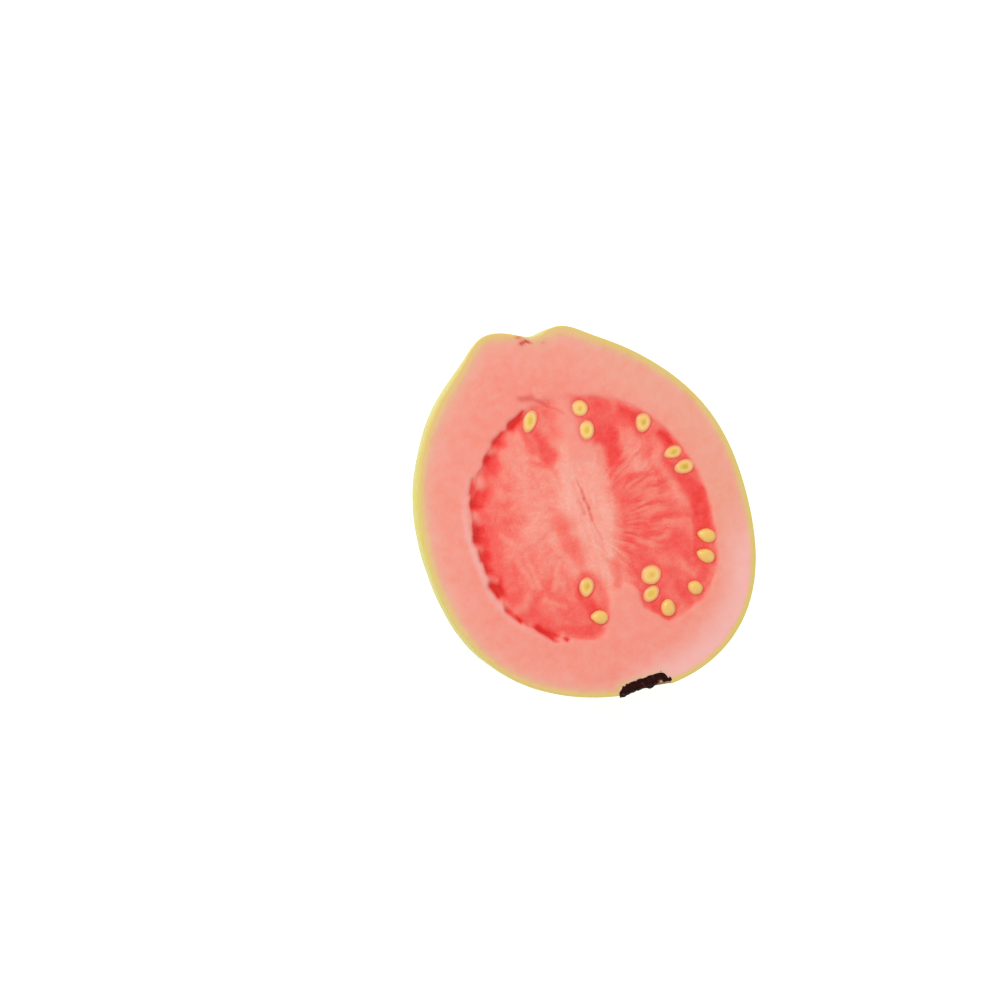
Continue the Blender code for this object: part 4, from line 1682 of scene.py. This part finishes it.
@dataclass
class HalfFruit:
    """The half fruit: round skin, flat cut face with its sunken pulp, and the blossom hollow.

    Lengths are in millimetres unless a line says otherwise.
    """

    # How the ball's rings are shared out, and how they close up toward the edge of the cut.

    sides: int = 440
    pulp_rings: int = 108
    flesh_rings: int = 44
    skin_rings: int = 62
    flesh_spacing: float = 1.35
    skin_spacing: float = 1.25
    hollow_sides: int = 72
    hollow_rings: int = 40
    sharpest: float = 55

    # The knife's edge and its rim, whose sides are in degrees round the face.
    edge_round: float = 0.35
    edge_drop: float = 0.12
    rim_left: float = 1.15
    rim_right: float = 1.15
    rim_left_at: float = 160.0

    # The swells and dimples of the skin, and the fold under the stem.
    skin_pattern: int = 11
    skin_swell: float = 0.22
    swell_width: float = 6.5
    swell_stretch: tuple[float, float, float] = (1.0, 0.6, 1.0)
    skin_dimple: float = 0.10
    dimple_width: float = 2.6
    stem_fold: float = 0.9
    fold_width: float = 3.4
    fold_down: float = 6.0
    fold_height: float = 5.0

    # Which faces are cut: near the cut plane, and either level or within the pulp.
    cut_band: float = 3.0
    level_from: float = 0.55
    pulp_reach: float = 30.5

    # Where the skin is golden, scarred and light, and where painted shade darkens it below the cut.
    stem_from: float = 20.0
    blossom_from: float = -30.0
    gold_share: float = 0.8
    gold_least: float = 2.5
    gold_left: float = 4.5
    stem_gold: float = 0.85
    stem_gold_width: float = 7.0
    scar_span: tuple[float, float] = (0.6, 2.2)
    scar_ragged: float = 0.6
    blossom_scar: float = 0.7
    blossom_span: tuple[float, float] = (5.5, 9.0)
    light_pattern: int = 8
    light_width: float = 14.0
    light_share: float = 0.25
    shade_share: float = 0.15
    shade_reach: float = 36.0

    def build(self) -> bpy.types.Object:
        """Returns the dressed piece."""
        rings = self.pulp_rings + self.flesh_rings + self.skin_rings
        fruit = add_ball("guava_half_fruit", self.sides, rings)
        fruit.data.materials.append(GuavaSkin().make())
        fruit.data.materials.append(CutGuavaFlesh().make())
        self.shape(fruit, rings)
        self.hollow_out(fruit)
        self.assign(fruit)
        self.mark(fruit)
        shade(fruit, self.sharpest)
        return fruit

    def shape(self, fruit: bpy.types.Object, rings: int) -> None:
        """Wraps the ball's rings over the cut face and down the skin.

        Args:
            fruit: The ball.
            rings: How many steps it has from pole to pole.
        """
        ring, angle = polar_of(read_points(fruit), rings)
        face_rings = self.pulp_rings + self.flesh_rings
        down = np.clip((ring - face_rings) / self.skin_rings, 0.0, 1.0)
        polar = 0.5 * math.pi * (1.0 + down**self.skin_spacing)
        direction = np.stack(
            (np.cos(angle) * np.sin(polar), np.sin(angle) * np.sin(polar), np.cos(polar)), axis=1
        )
        direction[down == 0, 2] = 0.0
        points = FORM.skin(direction)
        points += self.skin_detail(points, direction, down)
        on_face = ring < face_rings
        points[on_face] = self.face_points(ring[on_face], points[on_face])
        rim = ring == face_rings
        points[rim, 2] -= self.edge_drop * MM
        write_points(fruit, points)
        slice_level(fruit, 0.0, -1.0)

    def skin_detail(self, points: np.ndarray, direction: np.ndarray, down: np.ndarray) -> np.ndarray:
        """Works out the small swells and dimples of the skin, which die out at the cut.

        Args:
            points: The skin's points.
            direction: The way to each from the middle of the cut face.
            down: How far down the skin each is, from 0 at the cut to 1.

        Returns:
            The move of each point.
        """
        grain = Grain(self.skin_pattern)
        stretched = points / MM * np.array(self.swell_stretch)
        swell = self.skin_swell * grain.at(stretched, self.swell_width)
        lift = swell + self.skin_dimple * grain.at(points / MM, self.dimple_width)
        fade = soft_step(0.0, 0.22, down) * (1.0 - soft_step(0.72, 0.85, down))
        below = (FORM.cut_height - points[:, 2]) / MM
        fold = bell((points[:, 0] - FORM.stem_x) / MM / self.fold_width)
        fold = fold * bell((below - self.fold_down) / self.fold_height)
        fold = np.where(points[:, 1] > 0.0, self.stem_fold * fold, 0.0)
        return direction * ((lift * fade - fold) * MM)[:, None]

    def face_points(self, ring: np.ndarray, outline: np.ndarray) -> np.ndarray:
        """Places the points of the cut face.

        Args:
            ring: The ring of each, counted from the middle.
            outline: The point of the outline that each one's spoke runs to.

        Returns:
            The points, as rows.
        """
        spoke_x = outline[:, 0] / MM - FACE.pulp_x
        spoke_y = outline[:, 1] / MM - FACE.pulp_y
        full = np.hypot(spoke_x, spoke_y)
        pulp_share = FACE.edge(np.arctan2(spoke_y, spoke_x)) / full
        inner = ring / self.pulp_rings
        outer = np.clip((ring - self.pulp_rings) / self.flesh_rings, 0.0, 1.0)
        outer = 1.0 - (1.0 - outer) ** self.flesh_spacing
        share = np.where(inner <= 1.0, inner * pulp_share, pulp_share + (1.0 - pulp_share) * outer)
        x = FACE.pulp_x + share * spoke_x
        y = FACE.pulp_y + share * spoke_y
        spots = Spots.at(x, y)
        depth = FACE.relief(spots, FACE.cover(spots, ease=FACE.wall_ease))
        inside = (1.0 - share) * full
        depth += self.edge_drop * np.clip(1.0 - inside / self.edge_round, 0.0, 1.0) ** 2
        return np.stack((x * MM, y * MM, FORM.cut_height - depth * MM), axis=1)

    def hollow_out(self, fruit: bpy.types.Object) -> None:
        """Cuts the blossom hollow, with its uneven wall."""
        cutter = add_ball("blossom_hollow", self.hollow_sides, self.hollow_rings)
        ring, around = polar_of(read_points(cutter), self.hollow_rings)
        write_points(cutter, self.hollow_points(ring, around, self.hollow_rings))
        face_outwards(cutter)
        cutter.data.materials.append(fruit.data.materials[Side.SKIN.value])
        boolean = fruit.modifiers.new("blossom_hollow", "BOOLEAN")
        boolean.operation = "DIFFERENCE"
        boolean.object = cutter
        boolean.solver = "EXACT"
        deselect()
        fruit.select_set(True)
        bpy.context.view_layer.objects.active = fruit
        bpy.ops.object.modifier_apply(modifier=boolean.name)
        bpy.data.objects.remove(cutter)

    def hollow_points(self, ring: np.ndarray, around: np.ndarray, rings: int) -> np.ndarray:
        """Wraps a ball round the room of the hollow. The ball's upper pole points out of the fruit.

        Args:
            ring: The ring of each point, counted from the upper pole.
            around: The angle of each round the axis.
            rings: How many steps the ball has from pole to pole.

        Returns:
            The points, as rows.
        """
        half = rings / 2
        share = np.minimum(1.0, (rings - ring) / half)
        floor = HOLLOW.spot(around, share * HOLLOW.floor_radius, HOLLOW.corner_rise(share))
        mouth = HOLLOW.floor_radius + HOLLOW.flare * (HOLLOW.depth - HOLLOW.corner)
        upper = np.minimum(1.0, ring / (half - 1))
        lid = HOLLOW.spot(around, upper * mouth, np.full_like(upper, HOLLOW.depth))
        return np.where((ring >= half)[:, None], floor, lid)

    def assign(self, fruit: bpy.types.Object) -> None:
        """Gives the faces of the cut the cut finish, and the others the skin's."""
        mesh = fruit.data
        centres = np.empty(len(mesh.polygons) * 3)
        normals = np.empty(len(mesh.polygons) * 3)
        mesh.polygons.foreach_get("center", centres)
        mesh.polygons.foreach_get("normal", normals)
        height = centres.reshape(-1, 3)[:, 2]
        upward = normals.reshape(-1, 3)[:, 2]
        inside = centres.reshape(-1, 3)
        in_pulp = FACE.polar(inside[:, 0] / MM, inside[:, 1] / MM)[1] < self.pulp_reach
        near_plane = height > FORM.cut_height - self.cut_band * MM
        cut = near_plane & ((upward > self.level_from) | in_pulp)
        mesh.polygons.foreach_set("material_index", np.where(cut, Side.CUT.value, Side.SKIN.value))

    def mark(self, fruit: bpy.types.Object) -> None:
        """Keeps the fields of the face and of the skin with the mesh."""
        points = read_points(fruit)
        spots = Spots.at(points[:, 0] / MM, points[:, 1] / MM)
        pulp = FACE.cover(spots, FACE.red_reach)
        write_marks(fruit, "pulp_marks", pulp, FACE.tone(spots), FACE.fan(spots) * pulp)
        write_marks(fruit, "face_marks", *self.flesh_marks(points, spots), FACE.marks(spots))
        write_marks(fruit, "skin_marks", *self.skin_marks(points, spots))

    def leftness(self, spots: Spots) -> np.ndarray:
        """Returns 1 at the fruit's left, falling to 0 at its right."""
        angle = np.arctan2(spots.y, spots.x)
        return 0.5 + 0.5 * np.cos(angle - math.radians(self.rim_left_at))

    def skin_marks(self, points: np.ndarray, spots: Spots) -> tuple[np.ndarray, ...]:
        """Works out how golden, scarred and light the skin is, with painted shade deepening below the cut.

        Args:
            points: The fruit's points.
            spots: The same places on the cut face.

        Returns:
            The gold, the scar and the lightness of each, the lightness holding painted shade lower down.
        """
        below = FORM.cut_height - points[:, 2]
        gold_width = self.gold_least + self.gold_left * self.leftness(spots)
        gold = bell(below / gold_width / MM) * self.gold_share
        at_stem = spots.y > self.stem_from
        from_stem = np.hypot(points[:, 0] - FORM.stem_x, below) / MM
        stem_gold = self.stem_gold * bell(from_stem / self.stem_gold_width)
        gold = np.maximum(gold, np.where(at_stem, stem_gold, 0.0))
        scar = 1.0 - soft_step(*self.scar_span, from_stem + self.scar_ragged * spots.slow)
        from_hollow = np.hypot(points[:, 0] - HOLLOW.x, below) / MM
        blossom = self.blossom_scar * (1.0 - soft_step(*self.blossom_span, from_hollow + spots.slow))
        blossom = np.where(spots.y < self.blossom_from, blossom, 0.0)
        patches = soft_step(-1.0, 1.0, Grain(self.light_pattern).at(points / MM, self.light_width))
        light = self.light_share * patches
        # Painted shade: the skin is painted darker the further it lies below the cut.
        light = light - self.shade_share * soft_step(0.0, self.shade_reach * MM, below)
        return gold, np.maximum(np.where(at_stem, scar, 0.0), blossom), light

    def flesh_marks(self, points: np.ndarray, spots: Spots) -> tuple[np.ndarray, np.ndarray]:
        """Works out how the flesh turns to rim, where it is paler, and the painted highlight on the torn
        edge's lip.

        Args:
            points: The fruit's points.
            spots: The same places on the cut face.

        Returns:
            The rim, 1 at the skin and 0 in the flesh, and the paleness with the painted highlight, 0 to 1.
        """
        angle = np.arctan2(spots.y, spots.x)
        inside = FORM.outline(angle) / MM - np.hypot(spots.x, spots.y)
        leftness = self.leftness(spots)
        low_right = soft_step(0.72, 0.98, np.cos(angle - math.radians(-58)))
        width = self.rim_right + (self.rim_left - self.rim_right) * leftness
        topness = soft_step(0.5, 0.95, np.sin(angle))
        width = width + 0.35 * low_right + 0.35 * topness + 0.3 * spots.slow
        beside_stem = spots.x - FORM.stem_x / MM
        at_stem = np.where(spots.y > self.stem_from, bell((beside_stem + 1.5) / 3.0), 0.0)
        width = width * (1.0 - 0.35 * at_stem)
        rim = np.where(
            inside < width,
            1.0 - 0.26 * np.clip(inside / width, 0.0, 1.0),
            0.74 * np.exp(-(inside - width) / (2.1 - 0.8 * low_right + 1.0 * topness)),
        )
        rim = rim * (1.0 - 0.12 * at_stem)
        rightness = soft_step(-0.2, 0.9, np.cos(angle - math.radians(10)))
        rim = np.maximum(rim, (0.40 * rightness + 0.08 * leftness) * (1.0 - soft_step(5.0, 14.0, inside)))
        notch = HOLLOW.away_from(points[:, 0], points[:, 1]) / MM + 0.4 * spots.slow
        rim = np.maximum(rim, 0.72 * (1.0 - soft_step(0.1, 2.6, notch)))
        pale = low_right * soft_step(0.6, 1.8, inside) * (1.0 - soft_step(2.0, 9.5, inside)) * 0.85
        clock, out = FACE.polar(spots.x, spots.y)
        # Painted highlight: the flesh is painted paler along the lip of the torn edge, on the lower left.
        low_left = bell((np.mod(clock, math.tau) - math.radians(180)) / 0.7)
        lip = low_left * bell((out - FACE.edge(clock) - 1.0) / 0.8)
        near_rim = 0.20 * np.exp(-np.clip(inside, 0.0, None) / 7.0) * (0.4 + 0.6 * leftness)
        pale = np.maximum(pale, 0.6 * lip) + near_rim + 0.12 * spots.slow
        return rim, np.clip(pale, 0.0, 1.0)


@dataclass
class Calyx:
    """The withered calyx in the blossom hollow, cut through with the fruit."""

    sides: int = 220
    lid_rings: int = 46
    wall_rings: int = 14
    floor_rings: int = 16
    lap: float = 0.12 * MM
    floor: float = 1.9 * MM
    rim: float = 2.3 * MM
    low_rim: float = 0.5 * MM
    bowl_from: float = 0.45
    sepals: int = 5
    sepal_height: float = 0.22 * MM
    crumb: float = 0.26

    def build(self) -> bpy.types.Object:
        """Returns the dressed piece."""
        rings = self.lid_rings + self.wall_rings + self.floor_rings
        calyx = add_ball("dry_calyx", self.sides, rings)
        ring, around = polar_of(read_points(calyx), rings)
        write_points(calyx, self.half_cup(ring, around, rings))
        face_outwards(calyx)
        self.wither(calyx)
        calyx.data.materials.append(DryCalyx().make())
        shade(calyx, 60)
        return calyx

    def half_cup(self, ring: np.ndarray, around: np.ndarray, rings: int) -> np.ndarray:
        """Wraps a ball round the lower half of a cup. The ball's upper pole points out of the fruit.

        Args:
            ring: The ring of each point, counted from the upper pole.
            around: The angle of each round the ball.
            rings: How many steps the ball has from pole to pole.

        Returns:
            The points, as rows.
        """
        lid_share = np.clip(ring / self.lid_rings, 0.0, 1.0)
        floor_share = np.clip((rings - ring) / self.floor_rings, 0.0, 1.0)
        share = np.minimum(lid_share, floor_share)
        across = share * np.cos(around)
        edge = np.sqrt(np.clip(1.0 - across * across, 0.0, None))
        down = 0.5 * (edge - share * np.sin(around))
        radius, turn = np.hypot(across, down), np.arctan2(-down, across)
        wall = 1.0 - np.clip((ring - self.lid_rings) / self.wall_rings, 0.0, 1.0)
        out = self.top(radius, turn) * wall - self.lap * (1.0 - wall)
        reach = HOLLOW.floor_radius + self.lap + HOLLOW.flare * np.clip(out, 0.0, None)
        return HOLLOW.spot(turn, radius * reach, out)

    def top(self, share: np.ndarray, turn: np.ndarray) -> np.ndarray:
        """Works out the calyx's outer surface, a low bowl with a rim of torn sepals.

        Args:
            share: The share of the radius.
            turn: The angle round the axis.

        Returns:
            How far out each point is.
        """
        rim = self.rim + self.low_rim * np.sin(turn) ** 2 + self.sepal_height * np.cos(self.sepals * turn)
        rise = soft_step(self.bowl_from, 1.0, share)
        pleats = 0.12 * MM * np.cos(3 * self.sepals * turn) * soft_step(0.2, 0.7, share)
        return self.floor + (rim - self.floor) * rise + pleats

    def wither(self, calyx: bpy.types.Object) -> None:
        """Roughens the surface as dry, torn tissue, and keeps where it is torn with the mesh."""
        points = read_points(calyx)
        grain = Grain(21)
        normals = np.empty(len(points) * 3)
        calyx.data.vertices.foreach_get("normal", normals)
        place = points / MM
        crumbs = self.crumb * grain.at(place, 0.9) + 0.5 * self.crumb * grain.at(place, 0.45)
        points += normals.reshape(-1, 3) * (crumbs * MM)[:, None]
        points[:, 2] = np.minimum(points[:, 2], FORM.cut_height + 0.22 * MM)
        write_points(calyx, points)
        high = soft_step(-0.5, 0.1, (points[:, 2] - FORM.cut_height) / MM)
        write_marks(calyx, "calyx_marks", high * soft_step(0.25, 0.75, grain.at(place, 0.8)))


@dataclass
class SeedSet:
    """The fourteen seeds, each a hard drop in its own bed of pulp, in millimetres."""

    sides: int = 56
    rings: int = 44
    sharpest: float = 70
    thickness: float = 2.6
    proud: float = -0.08
    cut_rings: int = 20
    rim_share: float = 0.62
    kernel_sink: float = 0.05
    cut_share: float = 0.35
    uncut_rise: float = 0.4
    belly: float = 0.9
    squareness: float = 0.5
    dome: float = 0.16
    worn_edge: float = 0.12
    worn_from: float = 0.75

    # How uneven each seed is, in shape and colour.
    first_pattern: int = 40
    dent: float = 0.04
    dent_width: float = 1.2
    bend: float = 0.08
    bend_width: float = 1.5
    bend_apart: float = 9.0
    blotch: float = 0.25
    blotch_width: float = 0.9
    glow: float = 0.44
    glow_width: float = 0.8
    contact: float = 0.8
    contact_span: tuple[float, float] = (0.6, 1.08)
    uncut_contact: float = 1.05
    olive_at: tuple[float, float] = (-0.12, 0.15)
    olive_width: float = 0.55

    def build(self) -> list[bpy.types.Object]:
        """Returns the dressed seeds."""
        coat = GuavaSeedCoat().make()
        return [self.one(number, seed, coat) for number, seed in enumerate(SEEDS, start=1)]

    def profile(self, ring: np.ndarray, cut: bool) -> tuple[np.ndarray, np.ndarray]:
        """Works out a seed's section.

        Args:
            ring: The ring of each point, counted from the top.
            cut: Whether the knife met the seed.

        Returns:
            The share of the outline's radius, and the height above the seed's middle in millimetres.
        """
        half = 0.5 * self.thickness
        if not cut:
            level = math.pi * ring / self.rings
            bulge = np.sin(level) ** self.belly
            return bulge, half * np.cos(level)
        top = self.cut_share * self.thickness
        cap = math.acos(top / half)
        share = np.clip(ring / self.cut_rings, 0.0, 1.0)
        edge = math.sin(cap) ** self.squareness
        past = np.clip((ring - self.cut_rings) / (self.rings - self.cut_rings), 0.0, 1.0)
        level = cap + (math.pi - cap) * past
        side = np.sin(level) ** self.squareness
        rim = soft_step(self.rim_share - 0.25, self.rim_share + 0.15, share)
        dome = self.dome * (1.0 - share**2)
        worn = self.worn_edge * soft_step(self.worn_from, 1.0, share) ** 2
        lid = top - self.kernel_sink * (1.0 - rim) + dome - worn
        on_top = ring <= self.cut_rings
        return np.where(on_top, share * edge, side), np.where(on_top, lid, half * np.cos(level))

    def one(self, number: int, seed: Seed, coat: bpy.types.Material) -> bpy.types.Object:
        """Builds one seed.

        Args:
            number: Its number in its name.
            seed: Its place and size.
            coat: Its finish.

        Returns:
            The dressed seed.
        """
        piece = add_ball(f"seed_{number}", self.sides, self.rings)
        ring, around = polar_of(read_points(piece), self.rings)
        radius, height = self.profile(ring, seed.cut)
        along = radius * np.cos(around)
        narrow = 1 - seed.taper * (0.5 + 0.5 * along) ** 2
        u = 0.5 * seed.length * along
        v = 0.5 * seed.width * narrow * radius * np.sin(around)
        turn = math.radians(seed.tip_at)
        x = seed.x + u * math.cos(turn) - v * math.sin(turn)
        y = seed.y + u * math.sin(turn) + v * math.cos(turn)
        middle = FORM.cut_height / MM + self.proud - self.cut_share * self.thickness
        if not seed.cut:
            middle += self.uncut_rise
        place = np.stack((x, y, middle + height), axis=1)
        grain = Grain(self.first_pattern + number)
        place[:, 2] += self.dent * grain.at(place, self.dent_width)
        bends = [grain.at(place + apart, self.bend_width) for apart in (0.0, self.bend_apart)]
        place[:, :2] += self.bend * np.stack(bends, axis=1)
        write_points(piece, place * MM)
        share = np.clip(ring / self.cut_rings, 0.0, 2.0)
        blotch = self.blotch * grain.at(place, self.blotch_width)
        kernel = 1.0 - soft_step(self.rim_share - 0.55, self.rim_share + 0.22, share + blotch)
        if not seed.cut:
            kernel = self.glow * bell(share / self.glow_width + blotch)
            share = share / self.uncut_contact
        contact = self.contact * soft_step(*self.contact_span, share)
        across = radius * np.sin(around)
        from_patch = np.hypot(along - self.olive_at[0], across - self.olive_at[1])
        olive = seed.olive * (bell(from_patch / self.olive_width) + blotch)
        warmth = np.full(len(ring), seed.warmth)
        write_marks(piece, "seed_marks", kernel, warmth, contact, olive)
        piece.data.materials.append(coat)
        shade(piece, self.sharpest)
        return piece


@dataclass
class Studio:
    """The white table, its soft lights and the camera that looks down at the cut face.

    One of the photograph's pixels is 0.22 mm on the cut face, whose middle lies some pixels
    right of the image's middle and below it.
    """

    pixel: float = 0.00022
    floor_size: float = 3.0
    farthest: float = 10.0
    tilt: float = 7.0
    tilt_toward: float = 170.0
    distance: float = 1.3
    sensor: float = 36.0
    frame_width: float = 0.2185
    face_right: float = 87.0
    face_down: float = 12.0
    image_right: tuple[float, float] = (0.94, -0.342)
    image_up: tuple[float, float] = (0.342, 0.94)
    sky: float = 0.70

    def build(self) -> None:
        """Builds the floor, the lights and the camera."""
        self.add_floor()
        self.add_lights()
        self.add_camera()
        view = bpy.context.scene.view_settings
        view.view_transform = "Standard"
        view.look = "None"

    def add_floor(self) -> None:
        """Lays the white sweep that the fruit rests on."""
        deselect()
        bpy.ops.mesh.primitive_plane_add(size=self.floor_size)
        floor = bpy.context.object
        floor.name = "floor"
        floor.data.materials.append(PaperSweep().make())

    def on_image(self, right: float, up: float) -> Vector:
        """Returns the level direction that points this way in the image."""
        across = Vector((*self.image_right, 0.0)) * right
        return across + Vector((*self.image_up, 0.0)) * up

    def add_lights(self) -> None:
        """Hangs one large soft light at the upper left and a weaker one opposite, in a white room."""
        world = bpy.context.scene.world or bpy.data.worlds.new("white_room")
        bpy.context.scene.world = world
        world.use_nodes = True
        background = world.node_tree.nodes["Background"]
        background.inputs["Color"].default_value = (1.0, 1.0, 1.0, 1.0)
        background.inputs["Strength"].default_value = self.sky
        self.add_light("key", self.on_image(-0.55, 0.40) + Vector((0.0, 0.0, 0.60)), 0.35, 3.2)
        self.add_light("fill", self.on_image(0.60, -0.25) + Vector((0.0, 0.0, 0.50)), 0.50, 0.6)

    def add_light(self, name: str, place: Vector, size: float, power: float) -> None:
        """Hangs a square soft light that faces the cut.

        Args:
            name: The light's name.
            place: Where it hangs.
            size: The length of its side in metres.
            power: Its power in watts.
        """
        lamp = bpy.data.lights.new(name, "AREA")
        lamp.size = size
        lamp.energy = power
        light = bpy.data.objects.new(name, lamp)
        bpy.context.scene.collection.objects.link(light)
        light.location = place
        aim = Vector((0.0, 0.0, FORM.cut_height)) - place
        light.rotation_mode = "QUATERNION"
        light.rotation_quaternion = aim.to_track_quat("-Z", "Y")

    def add_camera(self) -> None:
        """Aims the camera so that the cut face lands where the photograph has it."""
        aim = self.on_image(-self.face_right * self.pixel, self.face_down * self.pixel)
        aim.z = FORM.cut_height
        toward_angle = math.radians(self.tilt_toward)
        lean = self.on_image(math.cos(toward_angle), math.sin(toward_angle))
        tilt = math.radians(self.tilt)
        back = lean * math.sin(tilt) + Vector((0.0, 0.0, math.cos(tilt)))
        right = Vector((*self.image_up, 0.0)).cross(back).normalized()
        up = back.cross(right).normalized()
        camera = bpy.data.cameras.new("camera")
        camera.sensor_width = self.sensor
        camera.lens = self.sensor * self.distance / self.frame_width
        holder = bpy.data.objects.new("camera", camera)
        bpy.context.scene.collection.objects.link(holder)
        holder.rotation_mode = "QUATERNION"
        holder.rotation_quaternion = Matrix((right, up, back)).transposed().to_quaternion()
        holder.location = aim + back * self.distance
        camera.clip_end = self.farthest
        bpy.context.scene.camera = holder


def main() -> None:
    """Builds each piece, fastens it to the frame and sets up the studio."""
    logging.basicConfig(level=logging.INFO, format="%(name)s: %(message)s")
    fruit = HalfFruit().build()
    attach(fruit, "root")
    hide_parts("guava_half")
    log.info("fruit: %d faces", len(fruit.data.polygons))
    calyx = Calyx().build()
    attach(calyx, "root")
    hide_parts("calyx")
    log.info("calyx: %d faces", len(calyx.data.polygons))
    for seed in SeedSet().build():
        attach(seed, "root")
        log.info("%s: %d faces", seed.name, len(seed.data.polygons))
    Studio().build()


if __name__ == "__main__":
    main()
